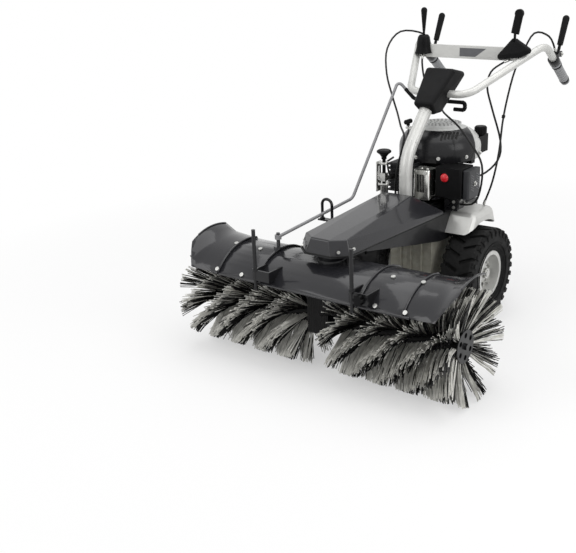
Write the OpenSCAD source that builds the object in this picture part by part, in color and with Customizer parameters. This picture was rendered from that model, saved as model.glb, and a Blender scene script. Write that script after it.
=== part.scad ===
// Walk-behind power brush sweeper: two driven wheels, an engine over the axle,
// and a swivelling two-roll brush head in front, steered from a handlebar.
// The wheel axle is the datum: x to the operator's left, y back from the axle, z up from the ground.

/* [Wheels] */
// Outer radius of a tyre
wheel_r = 165; // [155:1:175]
// Width of a tyre
tyre_w = 125; // [110:1:130]
// Distance of a tyre's middle from the machine's middle
wheel_x = 184; // [180:1:200]
// Radius of the rim's flange
rim_r = 84; // [78:1:90]
// Radius of an axle shaft
axle_r = 12.5; // [10:0.5:15]
// Number of tread bars round a tyre
tread_bars = 20; // [12:1:26]

/* [Brush] */
// Outer radius of the brush
brush_r = 177; // [170:1:180]
// Distance of a roll's outer end from the machine's middle
roll_out = 462; // [440:1:480]
// Distance of a roll's inner end from the machine's middle
roll_in = 64; // [60:1:70]
// Radius of the sleeve that holds the bristles
sleeve_r = 45; // [40:1:50]
// Radius of the brush shaft
shaft_r = 14; // [10:0.5:16]
// Thickness of a bristle tuft
tuft_w = 5; // [3:0.5:6]
// Rings of tufts on a roll
tuft_rings = 13; // [9:1:14]
// Tufts in a ring
ring_tufts = 15; // [12:1:16]
// How far the outermost tips lean out past the sleeve's end
tip_flare = 54; // [0:1:60]

/* [Hood] */
// Outer radius of the centre hood about the brush axis
hood_r = 186; // [185:1:192]
// Thickness of the hood's sheets
sheet = 2.5; // [1.5:0.25:3]
// Angle of the front lip ahead of the top
hood_front = 52; // [45:1:55]
// Angle of the rear edge behind the top
hood_rear = 72; // [60:1:75]
// Angle of a wing's rear edge behind the top
wing_rear = 18; // [10:1:40]
// Half length of the centre hood
hood_half = 265; // [262:1:280]
// Inner edge of a fender
fender_in = 190; // [185:1:200]
// Outer edge of a fender
fender_out = 365; // [362:1:375]
// Inner edge of a wing
wing_in = 344; // [340:1:346]
// Outer end of a wing
wing_out = 490; // [480:1:494]
// How much a wing flares towards its end
wing_flare = 28; // [10:1:32]

/* [Frame] */
// Distance from the brush axis to the wheel axle
wheelbase = 626; // [610:1:640]
// How far the axle lies behind the part's middle
axle_y = 125.75; // [100:0.25:150]
// Room of the frame plate's top over the wheel arches
arch_room = 41; // [39:1:47]
// Least room of the frame plate's top over the hood
hood_room = 33; // [31:1:40]
// Thickness of the frame's plates
frame_t = 5; // [3:0.5:6]
// Half width of the frame
frame_half = 110; // [108:1:112]
// Height of the engine riser on the frame plate
riser_h = 46; // [44:1:50]
// Half width over the mudguards
mud_half = 206; // [202:1:212]
// Sheet thickness of the mudguards
mud_t = 3; // [2:0.5:4]

/* [Belt cover] */
// Height of the cover's nose
nose_h = 48; // [44:1:52]
// Height of the cover at its rear ridge
ridge_h = 84; // [78:1:90]
// Half width of the cover at its rear end
cover_half = 118; // [116:1:122]
// Wall of the cover
cover_t = 3; // [2:0.5:4]

/* [Engine] */
// Distance of the crankshaft behind the axle
engine_y = 58; // [54:1:62]
// Radius of the engine cowl
cowl_r = 146; // [142:1:150]
// Height of the cowl's lower edge above the riser
cowl_up = 116; // [114:1:120]
// Height of the engine's top above the cowl's lower edge
dome_h = 114; // [106:1:122]
// Wall of the cowl and the starter housing
cowl_t = 4; // [3:0.5:5]

/* [Handlebar] */
// Distance of the post ahead of the axle
post_ahead = 182; // [180:1:186]
// Radius of the post
post_r = 22; // [20:0.5:23]
// Angle at which the post leans back above its bend
post_lean = 43; // [41:0.5:45]
// Radius of the handlebar tube
bar_r = 13; // [11:0.5:14]
// Wall of the handlebar tube
bar_wall = 2.5; // [1.5:0.25:3]
// Distance of a grip from the machine's middle
grip_x = 253; // [248:1:260]
// Height of the crossbar plate
crossbar_h = 46; // [40:1:50]
// Radius of a hand grip
grip_r = 17; // [16:0.5:18]

/* [Hidden] */
$fn = 48;
// Overrun of cuts, running fit, gap between neighbouring parts and gap between lapped sheets
over = 1;
fit = 0.05;
gap = 0.3;
lap = 0.2;
// Sides of a bristle tuft and of a swept cable
tuft_sides = 4;
cable_sides = 8;
hex_sides = 6;
round_fn = 16;

// Wheel places
axle_z = wheel_r;
bead_in = 10;
bead_r = rim_r - bead_in;
bead_half = 46;
tread_edge = 14;
tread_half = tyre_w / 2 - tread_edge;
tread_deep = 9;
tread_bar_w = 13;
tyre_wall = 9;
tyre_wide_in = 36;
tyre_wide_r = wheel_r - tyre_wide_in;
rim_t = 4;
rim_lip = 4;
rim_disc_x = 22;
rim_hole_r = 15;
rim_holes = 5;
hub_r = 28;
nut_r = 20;
nut_h = 12;
nut_x = 46;

// Brush and head places
brush_y = -wheelbase;
brush_z = brush_r;
roll_len = roll_out - roll_in;
tuft_r = tuft_w / sqrt(2);
tuft_root = 3;
tip_in_lean = 4;
ring_turn = 360 / ring_tufts * 2 / tuft_rings;
black_every = 5;
end_disc_edge = 6;
end_disc_r = sleeve_r + end_disc_edge;
end_disc_t = 5;
end_bolt_r = 11;
end_bolt_h = 8;
gearbox_r = 50;
gearbox_gap = 10;
gearbox_half = roll_in - gearbox_gap;
riser_r = 36;
collar_r = 43;
collar_under = 22;
collar_low = brush_z + hood_r - collar_under;
collar_over = 3;
collar_top = brush_z + hood_r + collar_over;
neck_r = 32;
neck_ring_r = 40;
neck_ring_h = 5;
input_r = 10;
input_foot = 10;
flap_half = 39;
flap_under = 41;
flap_low = brush_z - flap_under;
flap_ahead = 82;
flap_t = 4;

// Hood places
fender_r = hood_r + lap + sheet;
wing_r = fender_r + lap + sheet;
lip_r = 4;
wing_chamfer = 38;
wing_knee_share = 0.616;
wing_knee = fender_out + (wing_out - fender_out) * wing_knee_share;
wing_knee_flare = 7;
wing_chamfer_deep = 84;
upper_bolt_turn = 13;
lip_bolt_back = 4;
lip_bolt_turn = hood_front - lip_bolt_back;
bolt_in_x = 250;
bolt_out_x = 351;
bolt_r = 7;
bolt_h = 5;
hook_x = 180;
hook_r = 6;
hook_in = 28;
hook_ahead = hood_r - hook_in;
hook_foot_up = 99;
hook_foot_z = brush_z + hook_foot_up;
hook_top_up = 293;
hook_top_z = brush_z + hook_top_up;
hook_bracket_up = 129;
hook_bracket_z = brush_z + hook_bracket_up;
hook_bracket_w = 56;
hook_bracket_t = 6;
hook_bracket_h = 34;
hook_seat_z = hook_bracket_z + hook_bracket_h;
hook_arm_deep = 34;
hook_end_r = 8;
hook_step = 0.5;
hook_seat_r = 9;
hook_seat_h = 4;
hook_end_h = 5;
knob_off = 30;
knob_x = hook_x + knob_off;
knob_r = 17;
knob_h = 14;
knob_lobe_r = 5;
knob_lobes = 6;
knob_stem_r = 5;

// Heights of the frame, the engine's deck, its cowl and its top
arch_gap = 25;
arch_r = wheel_r + arch_gap;
frame_z = max(axle_z + arch_r + arch_room, brush_z + hood_r + hood_room);
deck_z = frame_z + riser_h;
cowl_z = deck_z + cowl_up;
engine_top = cowl_z + dome_h;

// Frame places
turret_r = 43;
web_front_half = 82;
frame_back = 142;
riser_half = 98;
riser_front = -72;
web_front_ahead = 560;
web_rear_ahead = 140;
web_foot_ahead = 50;
web_deep = 98;
web_foot_z = frame_z - web_deep;
web_front_deep = 14;
web_front_z = frame_z - web_front_deep;
case_half = 82;
case_front = 145;
case_back = 62;
case_barrel_r = 72;
case_rib = 6;
case_ribs = 3;
bearing_r = 32;
bearing_out = 14;
bearing_x = case_half + bearing_out;
axle_in = 58;

// Mudguard places
mud_front_in = 64;
mud_front = mud_front_in - arch_r;
mud_back_in = 62;
mud_back = arch_r - mud_back_in;
mud_drop = 4;
mud_top = frame_z - mud_drop;
mud_slope_front = 56;
mud_slope_back = 36;
mud_low_up = 131;
mud_low = axle_z + mud_low_up;
mud_low_front_up = 141;
mud_low_front = axle_z + mud_low_front_up;
mud_round = 26;

// Belt cover places
nose_tip = 74;
nose_tip_half = 50;
nose_side = 36;
nose_side_half = 92;
nose_slope = 12;
ridge_ahead = 245;
ridge_half = 58;
cover_back = -125;
cover_shoulder = 16;
cover_round = 7;

// Belt drive places
belt_up = 10;
belt_z = frame_z + belt_up;
belt_h = 13;
belt_t = 9;
crank_groove_r = 45;
input_groove_r = 48;
pulley_flange = 8;
pulley_cheek = 4;
crank_r = 12;
crank_up = 74;
belt_span = wheelbase + engine_y;
belt_gate = input_groove_r + belt_t + pulley_flange;

// Engine places
base_r = 80;
base_t = 10;
block_half = 78;
block_back = 120;
block_front = 20;
jug_in = -4;
jug_out = -112;
jug_front = -120;
fin_t = 6;
fins = 7;
fin_room = 8;
fin_gap = (cowl_z - deck_z - base_t - fin_room - fin_t) / (fins - 1);
housing_r = cowl_r - cowl_t - gap;
shoulder_up = 34;
shoulder_z = cowl_z + shoulder_up;
cowl_open_r = 92;
cowl_rear = 75;
cowl_rear_turn = -37;
vent_w = 7;
vent_pitch = 13;
vent_len = 32;
vents = 5;
vent_turn = -46;
vent_slant = -30;
vent_r = 96;
screen_r = 72;
screen_h = 8;
tank_x = 66;
tank_in = 84;
tank_out = 126;
tank_front = 88;
tank_back = 188;
tank_low_up = 4;
tank_low = cowl_z + tank_low_up;
tank_foot = 40;
tank_top_up = 64;
tank_top = cowl_z + tank_top_up;
tank_round = 14;
filler_x = 110;
filler_y = 148;
filler_r = 13;
filler_top_up = 12;
filler_top = tank_top + filler_top_up;
cap_r = 22;
cap_h = 24;
cap_skirt = 9;
cap_lobes = 12;
cap_lobe_r = 2.5;
guard_in = 4;
guard_out = 66;
guard_front = -142;
guard_back = -86;
guard_low = deck_z + base_t;
guard_drop = 12;
guard_top = cowl_z - guard_drop;
guard_round = 10;
guard_t = 2;
guard_slots = 5;
guard_slot_w = 5;
guard_slot_margin = 16;
guard_boss_r = 5;
muffler_gap = 8;
muffler_pipe_r = 14;
filter_in = 70;
filter_out = 172;
filter_front = -108;
filter_back = -18;
filter_low = deck_z + base_t;
filter_drop = 4;
filter_top = cowl_z - filter_drop;
filter_round = 9;
filter_cover_t = 24;
filter_cover_in = 5;
primer_x = 108;
primer_up = 78;
primer_z = deck_z + primer_up;
primer_r = 15;
primer_bore = primer_r + gap;
primer_out = 9;
primer_deep = 14;
filter_wall = 4;
filter_deep = 36;
carb_r = 16;
carb_x = 86;
carb_y = 4;
carb_up = 63;
carb_z = deck_z + carb_up;

// Handlebar places
post_bend = 150;
post_corner_up = 196;
post_corner_z = frame_z + post_corner_up;
post_top_up = 374;
post_top_z = frame_z + post_top_up;
weld = 0.3;
weld_half = 2;
saddle_r = 15;
post_groove_r = 3;
post_grooves = 8;
post_wall = 4;
post_flange_r = 38;
post_flange_t = 7;
bend_x = 112;
bend_y = 34;
bend_up = 382;
bend_z = frame_z + bend_up;
crown_y = 342;
crown_up = 523;
crown_z = frame_z + crown_up;
grip_y = 535;
grip_up = 374;
grip_z = frame_z + grip_up;
bar_bend = 62;
grip_len = 122;
grip_ribs = 9;
grip_rib = 1;
collar_h = 8;
crossbar_y = 248;
crossbar_up = 474;
crossbar_z = frame_z + crossbar_up;
crossbar_t = 6;
crossbar_half = 204;
crossbar_fold = 12;
console_top_up = 466;
console_top_z = frame_z + console_top_up;
console_back_drop = 16;
console_top_y = 35;
console_back_y = 126;
console_half = 56;
console_low_up = 349;
console_low_z = frame_z + console_low_up;
console_low_front = -76;
console_low_back = 28;
console_low_half = 37;
console_foot_up = 320;
console_foot_z = frame_z + console_foot_up;
console_foot_half = 30;
console_foot_front = -44;
console_foot_back = 22;
console_round = 12;
console_wall = 4;

// Lever places
pivot_y = 455;
pivot_up = 479;
pivot_z = frame_z + pivot_up;
lever_tip_y = 513;
lever_tip_up = 597;
lever_tip_z = frame_z + lever_tip_up;
lever_r = 10.5;
lever_tip_r = 12.5;
lever_neck = 34;
lever_neck_r = 5.6;
pivot_r = 5;
pivot_half = 14;
lever_eye_r = 9;
lever_eye_half = 6;
clamp_r = 20;
clamp_w = 24;
clamp_y = 424;
bracket_cheek = 4;
boot_x = 180;
boot_y = 245;
boot_low_up = 488;
boot_low = frame_z + boot_low_up;
boot_top_up = 554;
boot_top = frame_z + boot_top_up;
boot_r = 33;
bell_shares = [[1, 0], [0.9, 0.12], [0.8, 0.35], [0.75, 0.65], [0.66, 0.88], [0.48, 1]];
boot_neck_r = 15;
boot_slot = 14;
boot_slot_w = 7;
long_boot = 50;
boot_tail_r = 12;
stick_up = 534;
stick_z = frame_z + stick_up;
stick_r = 4.5;
stick_ball_r = 7;
stick_len = 34;
knob_len = 84;
slim_knob_r = 11.5;
slim_root_r = 5;
paddle_tilt = 11;
paddle_w = 15;
paddle_t = 6;

// Starter, height adjuster and swivel rod places
rope_x = -40;
rope_y = -100;
rope_up = 12;
rope_z = engine_top + rope_up;
rope_r = 2;
rope_len = 10;
eye_r = 9;
eye_t = 6;
grip_bar_r = 8;
grip_bar_half = 16;
grip_stem_r = 6;
grip_stem_h = 10;
adjust_x = -75;
adjust_y = -200;
adjust_tube_r = 14;
adjust_tube_top_up = 100;
adjust_tube_top = frame_z + adjust_tube_top_up;
adjust_ring_r = 21;
adjust_ring_t = 6;
adjust_plate_x = 20;
adjust_plate_t = 4;
adjust_plate_half = 13;
adjust_plate_top_up = 178;
adjust_plate_top = frame_z + adjust_plate_top_up;
adjust_plate_low_up = 74;
adjust_plate_low = frame_z + adjust_plate_low_up;
adjust_slot = 7;
adjust_lug_t = 8;
spindle_r = 6;
spindle_low_up = 82;
spindle_low = frame_z + spindle_low_up;
knob_low_up = 188;
knob_low = frame_z + knob_low_up;
mushroom_r = 25;
mushroom_h = 32;
mushroom_neck_r = 9;
slider_low_up = 112;
slider_low = frame_z + slider_low_up;
slider_h = 28;
slider_half = 10;
pointer_r = 2.5;
rod_x = -200;
rod_r = 5.5;
eye_ahead = 12;
eye_y = brush_y - eye_ahead;
eye_up = 8;
eye_z = frame_z + eye_up;
rod_knee_y = -209;
rod_knee_up = 35;
rod_knee_z = frame_z + rod_knee_up;
rod_top_y = 98;
rod_top_up = 404;
rod_top_z = frame_z + rod_top_up;
rod_end_share = 0.45;
rod_bends = [0, 40, 12];
rod_eye_r = 11;
rod_eye_h = 14;
rod_pin_r = 6;
rod_lug_r = 16;
rod_lug_h = 8;
handle_y = 108;
handle_up = 342;
handle_z = frame_z + handle_up;
handle_r = 7;
handle_in = -138;
handle_out = 66;
handle_loop = 26;
handle_back = 24;
handle_bends = [0, 20, 9, 9];
guide_y = -372;
guide_off = 5;
guide_x = rod_x + guide_off;
guide_half = 20;
guide_r = 5;
guide_top_up = 50;
guide_top = frame_z + guide_top_up;
guide_foot = frame_z;
guide_foot_r = 9;
guide_foot_h = 4;
guide_arm_w = 24;

// Routes of the control cables, in round numbers from the frame plate up
cable_r = 3.5;
cable_steps = 2;
brush_route = [[-253, 438, 488], [-268, 395, 540], [-325, 320, 554], [-335, 240, 499], [-285, 155, 419],
  [-230, 110, 338], [-190, 76, 292], [-130, 0, 261], [-54, -104, 240], [-56, -150, 134], [-60, -150, 32]];
drive_route = [[253, 438, 488], [238, 405, 544], [205, 350, 560], [190, 290, 494], [182, 240, 424],
  [190, 160, 299], [206, 100, 184], [200, 70, 84], [170, 70, -3]];
throttle_route = [[165, 240, 478], [140, 236, 466], [116, 200, 439], [118, 172, 389], [145, 160, 319],
  [184, 155, 209], [186, 135, 144], [150, 80, 98], [104, 12, 104]];
gear_route = [[-180, 236, 485], [-172, 222, 446], [-145, 196, 394], [-105, 182, 346], [-50, 150, 312],
  [10, 60, 310], [115, -26, 284], [190, -70, 234], [236, -90, 179], [232, -88, 94], [196, -74, 36],
  [99, -60, 24]];

// Unit vector, turn of a path at a point and how far a bend reaches along its straights
function unit(v) = v / norm(v);
function turn(path, i) = acos(unit(path[i] - path[i - 1]) * unit(path[i + 1] - path[i]));
function at_end(path, i) = i == 0 || i == len(path) - 1;
function bend_of(bend, i) = is_list(bend) ? bend[i] : bend;
function setback(path, i, bend) = at_end(path, i) ? 0 : bend_of(bend, i) * tan(turn(path, i) / 2);

// Smooth curve through hand-chosen points
function clamped(list, i) = list[max(0, min(len(list) - 1, i))];
function curve_at(a, b, c, d, t) =
  0.5 * (2 * b + (c - a) * t + (2 * a - 5 * b + 4 * c - d) * t * t + (3 * b - a - 3 * c + d) * t * t * t);
function smooth(list, steps) = [
  for (i = [0 : len(list) - 2], s = [0 : steps - 1])
    curve_at(clamped(list, i - 1), list[i], list[i + 1], clamped(list, i + 2), s / steps),
  list[len(list) - 1]];

// Places along the handlebar, the rod and the lean of the post
bar_path = [[-grip_x, grip_y, grip_z], [-grip_x, crown_y, crown_z], [-bend_x, bend_y, bend_z],
  [bend_x, bend_y, bend_z], [grip_x, crown_y, crown_z], [grip_x, grip_y, grip_z]];
grip_dir = unit([0, grip_y - crown_y, grip_z - crown_z]);
grip_end = [grip_x, grip_y, grip_z];
grip_start = grip_end - grip_dir * grip_len;
bend_end_y = -post_ahead + post_bend * (1 - cos(post_lean));
bend_start_z = post_corner_z - post_bend * tan(post_lean / 2);
bend_end_z = bend_start_z + post_bend * sin(post_lean);
post_upper = (post_top_z - bend_end_z) / cos(post_lean);
post_end_y = bend_end_y + post_upper * sin(post_lean);
rod_top = [rod_x, rod_top_y, rod_top_z];
handle_corner = [handle_in, handle_y, handle_z];
rod_end = rod_top + (handle_corner - rod_top) * rod_end_share;
rod_path = [[rod_x, eye_y, eye_z], [rod_x, rod_knee_y, rod_knee_z], rod_top, rod_end];
handle_path = [rod_end, handle_corner, [handle_out, handle_y, handle_z],
  [handle_out, handle_y, handle_z - handle_loop], [handle_back, handle_y, handle_z - handle_loop]];
clamp_z = crown_z + (clamp_y - crown_y) * grip_dir[2] / grip_dir[1];
lever_dir = unit([0, lever_tip_y - pivot_y, lever_tip_z - pivot_z]);
lever_len = norm([lever_tip_y - pivot_y, lever_tip_z - pivot_z]);

// Round bar from one point to another
module bar(a, b, r) {
  d = b - a;
  translate(a)
    rotate([0, acos(d[2] / norm(d)), atan2(d[1], d[0])])
      cylinder(h = norm(d), r = r);
}

// Bend of a bar at one point of its path, with a weld bead at each end
module elbow(path, i, bend, r) {
  u = unit(path[i] - path[i - 1]);
  w = unit(path[i + 1] - path[i]);
  n = unit(w - u * (u * w));
  s = setback(path, i, bend);
  b = bend_of(bend, i);
  c = path[i] - u * s + n * b;
  z = cross(-n, u);
  multmatrix([[-n[0], u[0], z[0], c[0]], [-n[1], u[1], z[1], c[1]], [-n[2], u[2], z[2], c[2]], [0, 0, 0, 1]])
    rotate_extrude(angle = turn(path, i))
      translate([b, 0])
        circle(r = r);
  bar(path[i] - u * (s + weld_half), path[i] - u * (s - weld_half), r + weld);
  bar(path[i] + w * (s - weld_half), path[i] + w * (s + weld_half), r + weld);
}

// Round bar along a path with one bend radius
module bent_bar(path, bend, r) {
  last = len(path) - 1;
  for (i = [0 : last - 1]) {
    u = unit(path[i + 1] - path[i]);
    bar(path[i] + u * setback(path, i, bend), path[i + 1] - u * setback(path, i + 1, bend), r);
  }
  for (i = [1 : last - 1]) elbow(path, i, bend, r);
}

// Cable swept along its route
module cable(route) {
  p = smooth(route, cable_steps);
  n = len(p);
  points = [
    for (i = [0 : n - 1])
      let (t = unit(p[min(n - 1, i + 1)] - p[max(0, i - 1)]), s = unit(cross(t, [1, 0.3, 0.2])), v = cross(s, t))
        for (k = [0 : cable_sides - 1])
          p[i] + cable_r * (cos(360 * k / cable_sides) * s + sin(360 * k / cable_sides) * v)];
  walls = [
    for (i = [0 : n - 2], k = [0 : cable_sides - 1])
      let (a = i * cable_sides + k, b = i * cable_sides + (k + 1) % cable_sides)
        each [[a, b, a + cable_sides], [b, b + cable_sides, a + cable_sides]]];
  caps = [
    for (k = [1 : cable_sides - 2])
      each [[0, k + 1, k], [0, k, k + 1] + [1, 1, 1] * (n - 1) * cable_sides]];
  translate([0, 0, frame_z]) polyhedron(points = points, faces = concat(walls, caps));
}

// Shape turned so that its own axis lies along x at the wheel axle or at the brush
module on_axle(x) {
  translate([x, 0, axle_z])
    rotate([0, 90, 0])
      children();
}
module on_brush(x) {
  translate([x, brush_y, brush_z])
    rotate([0, 90, 0])
      children();
}
module both_sides() {
  children();
  mirror([1, 0, 0]) children();
}

// Sector of a sheet bent about the brush axis, from its profile of radius and x
module hood_sector(rear) {
  on_brush(0)
    rotate([0, 0, 180 - rear])
      rotate_extrude(angle = rear + hood_front)
        children();
}

// Place on the hood's outside, ahead of its top by an angle
module on_hood(x, ahead, r) {
  translate([x, brush_y, brush_z])
    rotate([ahead, 0, 0])
      translate([0, 0, r])
        children();
}

// Box with upright round edges
module round_box(low, high, r) {
  translate([0, 0, low[2]])
    linear_extrude(high[2] - low[2]) {
      translate([low[0] + r, low[1]]) square([high[0] - low[0] - 2 * r, high[1] - low[1]]);
      translate([low[0], low[1] + r]) square([high[0] - low[0], high[1] - low[1] - 2 * r]);
      for (x = [low[0] + r, high[0] - r], y = [low[1] + r, high[1] - r]) translate([x, y]) circle(r = r);
    }
}

// Plain box from its low and high corners
module box(low, high) {
  translate(low) cube(high - low);
}

// Frame of folded plate with the turret that carries the brush head and the riser under the engine
module main_frame() color("dimgray") difference() {
  union() {
    translate([0, 0, frame_z - frame_t])
      linear_extrude(frame_t)
        polygon([[-nose_tip_half, brush_y - nose_tip], [nose_tip_half, brush_y - nose_tip],
          [nose_side_half, brush_y - nose_side], [cover_half, cover_back], [frame_half, cover_back], [frame_half, frame_back],
          [-frame_half, frame_back], [-frame_half, cover_back], [-cover_half, cover_back],
          [-nose_side_half, brush_y - nose_side]]);
    both_sides()
      translate([frame_half - frame_t, 0, 0])
        rotate([90, 0, 90])
          linear_extrude(frame_t)
            polygon([[-web_rear_ahead, frame_z - over], [-web_rear_ahead, web_foot_z + frame_t],
              [-web_foot_ahead, web_foot_z], [frame_back, web_foot_z], [frame_back, frame_z - over]]);
    both_sides()
      frame_wing();
    box([guide_x - guide_half - guide_arm_w / 2, guide_y - guide_arm_w / 2, frame_z - frame_t],
      [-web_front_half, guide_y + guide_arm_w / 2, frame_z]);
    translate([0, brush_y, collar_top + gap])
      cylinder(h = frame_z - frame_t - collar_top, r = turret_r);
    box([-riser_half, riser_front, frame_z - over], [riser_half, frame_back, deck_z]);
  }
  box([-riser_half + frame_t, riser_front - over, frame_z], [riser_half - frame_t, frame_back - frame_t, deck_z - frame_t]);
  translate([0, brush_y, collar_top])
    cylinder(h = frame_z, r = neck_r + fit);
  translate([0, engine_y, deck_z - frame_t - over])
    cylinder(h = frame_t + 2 * over, r = crank_r + pulley_cheek);
}

// Tapered side web of the frame's front arm
module frame_wing() {
  a = [web_front_half, -web_front_ahead];
  b = [frame_half - frame_t, -web_rear_ahead + over];
  run = norm(b - a);
  translate([a[0], a[1], 0])
    rotate([0, 0, atan2(b[1] - a[1], b[0] - a[0])])
      rotate([90, 0, 0])
        linear_extrude(frame_t)
          polygon([[0, frame_z - over], [0, web_front_z], [run, web_foot_z + frame_t], [run, frame_z - over]]);
}

// Corner points of the belt cover, drawn in by a wall
module cover_form(wall) {
  r = cover_round - wall;
  low = frame_z + (wall > 0 ? -over : 0);
  tops = [[nose_tip_half - nose_slope, brush_y - nose_tip + nose_slope, frame_z + nose_h],
    [nose_side_half - nose_slope, brush_y - nose_side + nose_slope / 2, frame_z + nose_h],
    [ridge_half, -ridge_ahead, frame_z + ridge_h],
    [cover_half, cover_back, frame_z + cover_shoulder]];
  feet = [[nose_tip_half, brush_y - nose_tip], [nose_side_half, brush_y - nose_side], [cover_half, cover_back]];
  hull() {
    for (s = [-1, 1], p = tops)
      translate([s * (p[0] - cover_round), p[1] + (p[1] == cover_back ? -cover_round : cover_round), p[2] - cover_round])
        sphere(r = r, $fn = round_fn);
    for (s = [-1, 1], p = feet)
      translate([s * (p[0] - cover_round), p[1] + (p[1] == cover_back ? -cover_round : cover_round), low])
        cylinder(h = over, r = r, $fn = round_fn);
  }
}

// Sheet cover over the belt, with holes for the post and the height adjuster
module belt_cover() color("#46464a") difference() {
  cover_form(0);
  cover_form(cover_t);
  translate([0, -post_ahead, frame_z])
    cylinder(h = ridge_h, r = post_r + gap);
  translate([adjust_x, adjust_y, frame_z])
    cylinder(h = ridge_h, r = adjust_tube_r + gap);
  box([-belt_gate, cover_back - 4 * cover_round, frame_z - over],
    [belt_gate, cover_back + over, belt_z + belt_h + 2 * pulley_cheek]);
}

// Cast case of the gearbox round the axle, with ribs and bearing bosses
module transmission_case() color("#6f6d60") difference() {
  union() {
    on_axle(-case_half) cylinder(h = 2 * case_half, r = case_barrel_r);
    box([-case_half, -case_front, axle_z], [case_half, case_back, frame_z - frame_t]);
    on_axle(-bearing_x) cylinder(h = 2 * bearing_x, r = bearing_r);
    for (i = [1 : case_ribs])
      translate([(i - (case_ribs + 1) / 2) * case_half / case_ribs * 1.5, -case_front - case_rib, axle_z])
        cube([case_rib, 2 * case_rib, frame_z - frame_t - axle_z]);
  }
  for (s = [0, 1]) mirror([s, 0, 0]) on_axle(axle_in - over) cylinder(h = bearing_x, r = axle_r + fit);
}

// Rounded outer form of a mudguard, drawn in by the sheet's thickness
module mud_form(wall) {
  r = mud_round - wall;
  tops = [[mud_front + mud_slope_front, mud_top], [mud_back - mud_slope_back, mud_top]];
  feet = [[mud_front, mud_low_front], [mud_back, mud_low]];
  hull()
    for (x = [frame_half, mud_half - mud_round])
      for (p = concat(tops, feet))
        translate([x, p[0] + (p[0] < 0 ? mud_round : -mud_round), p[1] - mud_round])
          sphere(r = r, $fn = round_fn);
}

// Pressed mudguards over the wheels, bolted to the frame's sides
module mudguards() color("silver") both_sides() difference() {
  mud_form(0);
  mud_form(mud_t);
  box([0, mud_front - over, mud_low - 3 * mud_round], [frame_half, mud_back + over, mud_top + over]);
  on_axle(frame_half - over) cylinder(h = mud_half, r = arch_r);
  box([0, mud_front - over, mud_low - 3 * mud_round], [mud_half + over, mud_back + over, mud_low]);
}

// Crankcase with its base flange and the finned cylinder beside it
module engine_block() color("#2a2a2c") difference() {
  union() {
    translate([0, engine_y, deck_z]) cylinder(h = base_t, r = base_r);
    round_box([-block_half, -block_front, deck_z + base_t - over], [tank_x, block_back, cowl_z - gap], tank_round);
    round_box([jug_out + fin_t, jug_front + fin_t, deck_z + base_t + fin_t],
      [jug_in - fin_t, -block_front + over, cowl_z - fin_t], tank_round / 2);
    for (i = [0 : fins - 1])
      round_box([jug_out, jug_front, deck_z + base_t + i * fin_gap],
        [jug_in, -block_front + over, deck_z + base_t + i * fin_gap + fin_t], tank_round / 2);
  }
  translate([0, engine_y, deck_z - over]) cylinder(h = crank_up, r = crank_r + fit);
}

// Half outline of the engine's dome, from the axis out
module dome_profile(r, top, low) {
  crown = top - shoulder_z;
  polygon(concat([[0, low], [r, low]],
    [for (a = [0 : 10 : 80]) [cowl_open_r / 2 + (r - cowl_open_r / 2) * cos(a), shoulder_z + crown * sin(a)]],
    [[cowl_open_r / 2, top], [0, top]]));
}

// Light housing of the recoil starter with its raised screen
module starter_housing() color("#b9bab8") difference() {
  translate([0, engine_y, 0])
    rotate_extrude() {
      difference() {
        dome_profile(housing_r, engine_top - screen_h, cowl_z);
        dome_profile(housing_r - cowl_t, engine_top - screen_h - cowl_t, cowl_z - over);
      }
      translate([0, engine_top - screen_h - cowl_t]) square([screen_r, screen_h + cowl_t]);
    }
  tank_notch();
}

// Dark cowl over the front of the starter housing, with its cooling slots
module engine_cowl() color("#333336") difference() {
  translate([0, engine_y, 0])
    rotate_extrude()
      difference() {
        dome_profile(cowl_r, engine_top - screen_h + cowl_t, cowl_z);
        dome_profile(housing_r + gap, engine_top - screen_h + gap, cowl_z - over);
        translate([-over, cowl_z]) square([cowl_open_r + over, engine_top]);
      }
  translate([0, engine_y, 0])
    rotate([0, 0, cowl_rear_turn])
      box([-cowl_r - over, cowl_rear, cowl_z - over], [cowl_r + over, cowl_r + over, engine_top]);
  for (i = [0 : vents - 1])
    translate([0, engine_y, shoulder_z])
      rotate([0, 0, vent_turn])
        translate([vent_r + vent_len / 2, (i - (vents - 1) / 2) * vent_pitch, 0])
          rotate([0, 0, vent_slant])
            translate([-vent_len / 2, -vent_w / 2, 0])
              cube([vent_len, vent_w, engine_top]);
  tank_notch();
}

// Room in the housing and the cowl for the tank and its cap
module tank_notch() {
  round_box([tank_in - gap, tank_front - gap, cowl_z - over], [tank_out + gap, tank_back, tank_top + gap], tank_round);
  translate([filler_x, filler_y, tank_top - over]) cylinder(h = engine_top, r = cap_r + over);
}

// Fuel tank with its filler neck
module fuel_tank() color("#26262a") {
  round_box([tank_in, tank_front, tank_low], [tank_out, tank_back, tank_top], tank_round);
  translate([filler_x, filler_y, tank_top - over]) cylinder(h = filler_top - tank_top + over, r = filler_r);
  box([tank_x, block_back - tank_foot, cowl_z - 2 * tank_round],
    [tank_out - tank_round, block_back - tank_round, tank_low + over]);
}

// Screw cap of the fuel tank with a knurled skirt
module fuel_cap() color("#18181a") translate([filler_x, filler_y, filler_top]) difference() {
  union() {
    translate([0, 0, -cap_skirt]) cylinder(h = cap_h, r = cap_r);
    translate([0, 0, cap_h - cap_skirt]) cylinder(h = cap_skirt / 2, r1 = cap_r, r2 = cap_r - cap_skirt / 2);
  }
  translate([0, 0, -cap_skirt - over]) cylinder(h = cap_skirt + over + gap, r = filler_r + fit);
  for (i = [0 : cap_lobes - 1])
    rotate([0, 0, 360 * i / cap_lobes])
      translate([cap_r + cap_lobe_r / 2, 0, -cap_skirt - over])
        cylinder(h = cap_h + cap_skirt, r = cap_lobe_r);
}

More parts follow.
